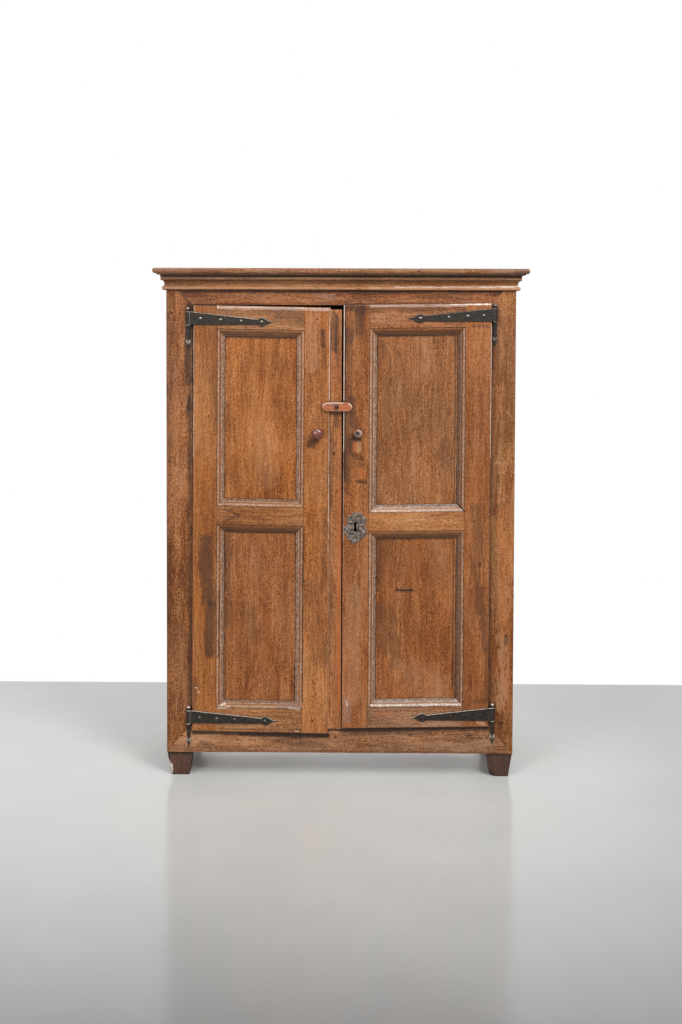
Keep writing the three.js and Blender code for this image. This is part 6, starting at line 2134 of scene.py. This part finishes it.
@dataclass(frozen=True)
class Lamp:
    """A large soft lamp: its place, the point that it faces, its width and height, and its power in watts."""

    name: str
    at: tuple[float, float, float]
    towards: tuple[float, float, float]
    size: Point
    power: float

    def build(self) -> None:
        """Hangs the lamp."""
        data = bpy.data.lights.new(self.name, "AREA")
        data.shape = "RECTANGLE"
        data.size, data.size_y = self.size
        data.energy = self.power
        lamp = placed(self.name, data)
        lamp.location = self.at
        lamp.rotation_euler = (Vector(self.towards) - Vector(self.at)).to_track_quat("-Z", "Y").to_euler()


@dataclass
class Studio:
    """The pale floor, the soft lamps and the camera."""

    floor_colour: Colour = (219, 221, 219)
    # Painted shade: the floor darkens towards the camera and towards the right.
    near_shade_colour: Colour = (132, 134, 134)
    near_shade_reach: float = -1.75
    near_shade_power: float = 1.5
    side_shade: Band = (0.4, 1.15, 1.0, 0.74)
    cloud: Band = (0.3, 0.7, 0.95, 1.04)
    cloud_noise: tuple[float, float, float] = (1.6, 5.0, 0.6)
    floor_roughness: Point = (0.13, 0.18)
    floor_specular: float = 0.6
    floor_back: float = 0.88
    floor_front: float = -14.0
    floor_half_width: float = 14.0
    camera_at: tuple[float, float, float] = (0.0352, -4.4789, 1.58)
    pitch: float = 2.173
    yaw: float = -0.463
    roll: float = 0.185
    lens: float = 45.26
    film_width: float = 36.0
    rise: float = -0.15228
    ambient: float = 0.42
    mirrored: float = 0.85
    lamps: tuple[Lamp, ...] = (
        Lamp("key_lamp", (1.9, -3.3, 3.3), (0.0, -0.1, 0.9), (1.3, 1.3), 96.0),
        Lamp("fill_lamp", (-2.6, -4.3, 1.9), (0.0, -0.1, 0.8), (1.6, 1.6), 80.0),
        Lamp("top_lamp", (0.2, -1.9, 4.2), (0.0, -0.2, 0.8), (3.0, 1.6), 55.0),
        Lamp("back_lamp", (0.0, 2.4, 0.45), (0.0, -0.1, 0.0), (1.5, 0.35), 26.0),
    )

    def build(self) -> None:
        """Makes everything round the cupboard."""
        self._camera()
        self._world()
        self._floor()
        for lamp in self.lamps:
            lamp.build()

    def _camera(self) -> None:
        """Sets the camera at the photographed angle."""
        pitch, yaw, roll = (math.radians(angle) for angle in (self.pitch, self.yaw, self.roll))
        ahead = Vector((math.sin(yaw) * math.cos(pitch), math.cos(yaw) * math.cos(pitch), -math.sin(pitch)))
        level = Vector((math.cos(yaw), -math.sin(yaw), 0.0))
        above = level.cross(ahead)
        right = level * math.cos(roll) + above * math.sin(roll)
        up = above * math.cos(roll) - level * math.sin(roll)
        data = bpy.data.cameras.new("photo_camera")
        data.lens = self.lens
        data.sensor_width = self.film_width
        data.sensor_fit = "AUTO"
        data.shift_y = self.rise
        camera = placed("photo_camera", data)
        turn = Matrix((right, up, -ahead)).transposed().to_4x4()
        camera.matrix_world = Matrix.Translation(self.camera_at) @ turn
        bpy.context.scene.camera = camera

    def _world(self) -> None:
        """A white surround that lights the room evenly."""
        world = bpy.data.worlds.new("soft_room")
        bpy.context.scene.world = world
        world.use_nodes = True
        graph = Graph(world.node_tree)
        paths = graph.add("ShaderNodeLightPath").outputs
        seen = graph.most(paths["Is Camera Ray"], paths["Is Transmission Ray"])
        shown = graph.most(seen, graph.times(paths["Is Glossy Ray"], self.mirrored))
        graph.fill(world.node_tree.nodes["Background"], Color=(1.0, 1.0, 1.0, 1.0),
                   Strength=graph.most(shown, self.ambient))

    def _floor(self) -> None:
        """A pale, slightly polished floor, with painted shade that darkens it towards the camera and towards
        the right.
        """
        half, front, back = self.floor_half_width, self.floor_front, self.floor_back
        mesh = bpy.data.meshes.new("floor")
        mesh.from_pydata([(-half, front, 0.0), (half, front, 0.0), (half, back, 0.0), (-half, back, 0.0)], [],
                         [(0, 1, 2, 3)])
        made, graph, shader, place = new_material("pale_concrete")
        parts = graph.add("ShaderNodeSeparateXYZ", place).outputs
        cloud = graph.noise(place, *self.cloud_noise).outputs[0]
        # Painted shade: darker towards the camera, and below, darker towards the right.
        near = graph.math("POWER", graph.remap(parts[1], 0.0, self.near_shade_reach), self.near_shade_power)
        colour = graph.mix(near, linear(self.floor_colour), linear(self.near_shade_colour))
        cloud_and_shade = graph.times(graph.remap(cloud, *self.cloud), graph.remap(parts[0], *self.side_shade))
        shade = graph.add("ShaderNodeCombineXYZ", cloud_and_shade, cloud_and_shade, cloud_and_shade).outputs[0]
        graph.fill(shader, Base_Color=graph.mix(1.0, colour, shade, "MULTIPLY"),
                   Roughness=graph.remap(cloud, *self.cloud[:2], *self.floor_roughness),
                   Specular_IOR_Level=self.floor_specular)
        new_piece("floor", mesh, made, smooth=False)


def knobs() -> tuple[Knob, Knob]:
    """Both knobs: a polished round one on the left and a worn peg on the right.

    Returns:
        The left and the right knob.
    """
    polished = TurnedFinish((118, 60, 46), (40, 18, 12), (188, 136, 112), roughness=0.2, wear=0.35, coat=0.5)
    hollow = marks(
        # The first mark darkens the hollow end; the second is painted shadow under the peg, and the two pale
        # ones are painted highlight on its rim.
        ("GRIME", 55.8, 1161, 56.6, 1160, 5, 3.5, 0.95, 1.5, 0.2),
        ("GRIME", 46, 1154, 58, 1147, 3, 5, 0.8, 2, 0.2), ("BLOOM", 58, 1174, 68, 1170, 1.6, 4, 0.6, 3, 0.6),
        ("BLOOM", 69, 1168, 71, 1158, 1.2, 3.5, 0.5, 3, 0.6),
    )
    worn = TurnedFinish((128, 86, 64), (24, 15, 12), (206, 168, 144), roughness=0.34, wear=0.7, coat=0.1,
                        strokes=hollow)
    return (
        Knob(Side.LEFT, -77.0, 1161.0, LEFT_FACE_Y, mushroom_profile(), polished),
        Knob(Side.RIGHT, 57.8, 1161.0, RIGHT_FACE_Y, peg_profile(), worn),
    )


def feet() -> tuple[BlockFoot, ...]:
    """Both front feet with the places where they are knocked.

    Returns:
        The left and the right foot.
    """
    knocks = ((Side.LEFT, (80, 54, 42), ((-0.574, 0.036, 0.010), (-0.571, 0.014, 0.009))),
              (Side.RIGHT, (77, 54, 44), ((0.497, -0.004, 0.026), (0.496, 0.03, 0.007))))
    return tuple(BlockFoot(side, colour, tuple((Vector((x, CHIP_Y, z)), size) for x, z, size in places), seed)
                 for seed, (side, colour, places) in enumerate(knocks, 1))


def main() -> None:
    """Builds every sub-assembly in order."""
    logging.basicConfig(level=logging.INFO, format="%(name)s: %(message)s")
    bpy.context.scene.view_settings.view_transform = "Standard"
    Studio().build()
    shop = Workshop()
    # rim sets each finish's painted highlight on upward-facing edges.
    straps = {RubAndHighlight.BRIGHT: IronFinish(wear=0.8, wear_reach=1.5, rim=0.9),
              RubAndHighlight.DULL: IronFinish(wear=0.5, rim=0.35)}
    heads = {
        RubAndHighlight.BRIGHT: IronFinish((58, 50, 44), (98, 88, 78), (206, 194, 182), roughness=0.4, wear=0.9,
                               wear_reach=2.5),
        RubAndHighlight.DULL: IronFinish((60, 54, 48), (86, 78, 70), (170, 158, 144), wear=0.5, wear_reach=2.5, rim=0.5),
        RubAndHighlight.RUSTY: IronFinish((44, 28, 22), (66, 40, 30), (120, 88, 74), roughness=0.6, wear=0.3, rim=0.3),
    }
    for rub, finish in straps.items():
        shop.iron[rub] = finish.material(f"forged_iron_{rub.value}", shop.effects)
    for rub, finish in heads.items():
        shop.nails[rub] = finish.material(f"nail_iron_{rub.value}", shop.effects)
    Joinery().build(shop)
    Ironwork().build(shop)
    for knob in knobs():
        knob.build(shop)
    TurnButton().build(shop)
    Escutcheon().build(shop)
    for foot in feet():
        foot.build(shop)


if __name__ == "__main__":
    main()
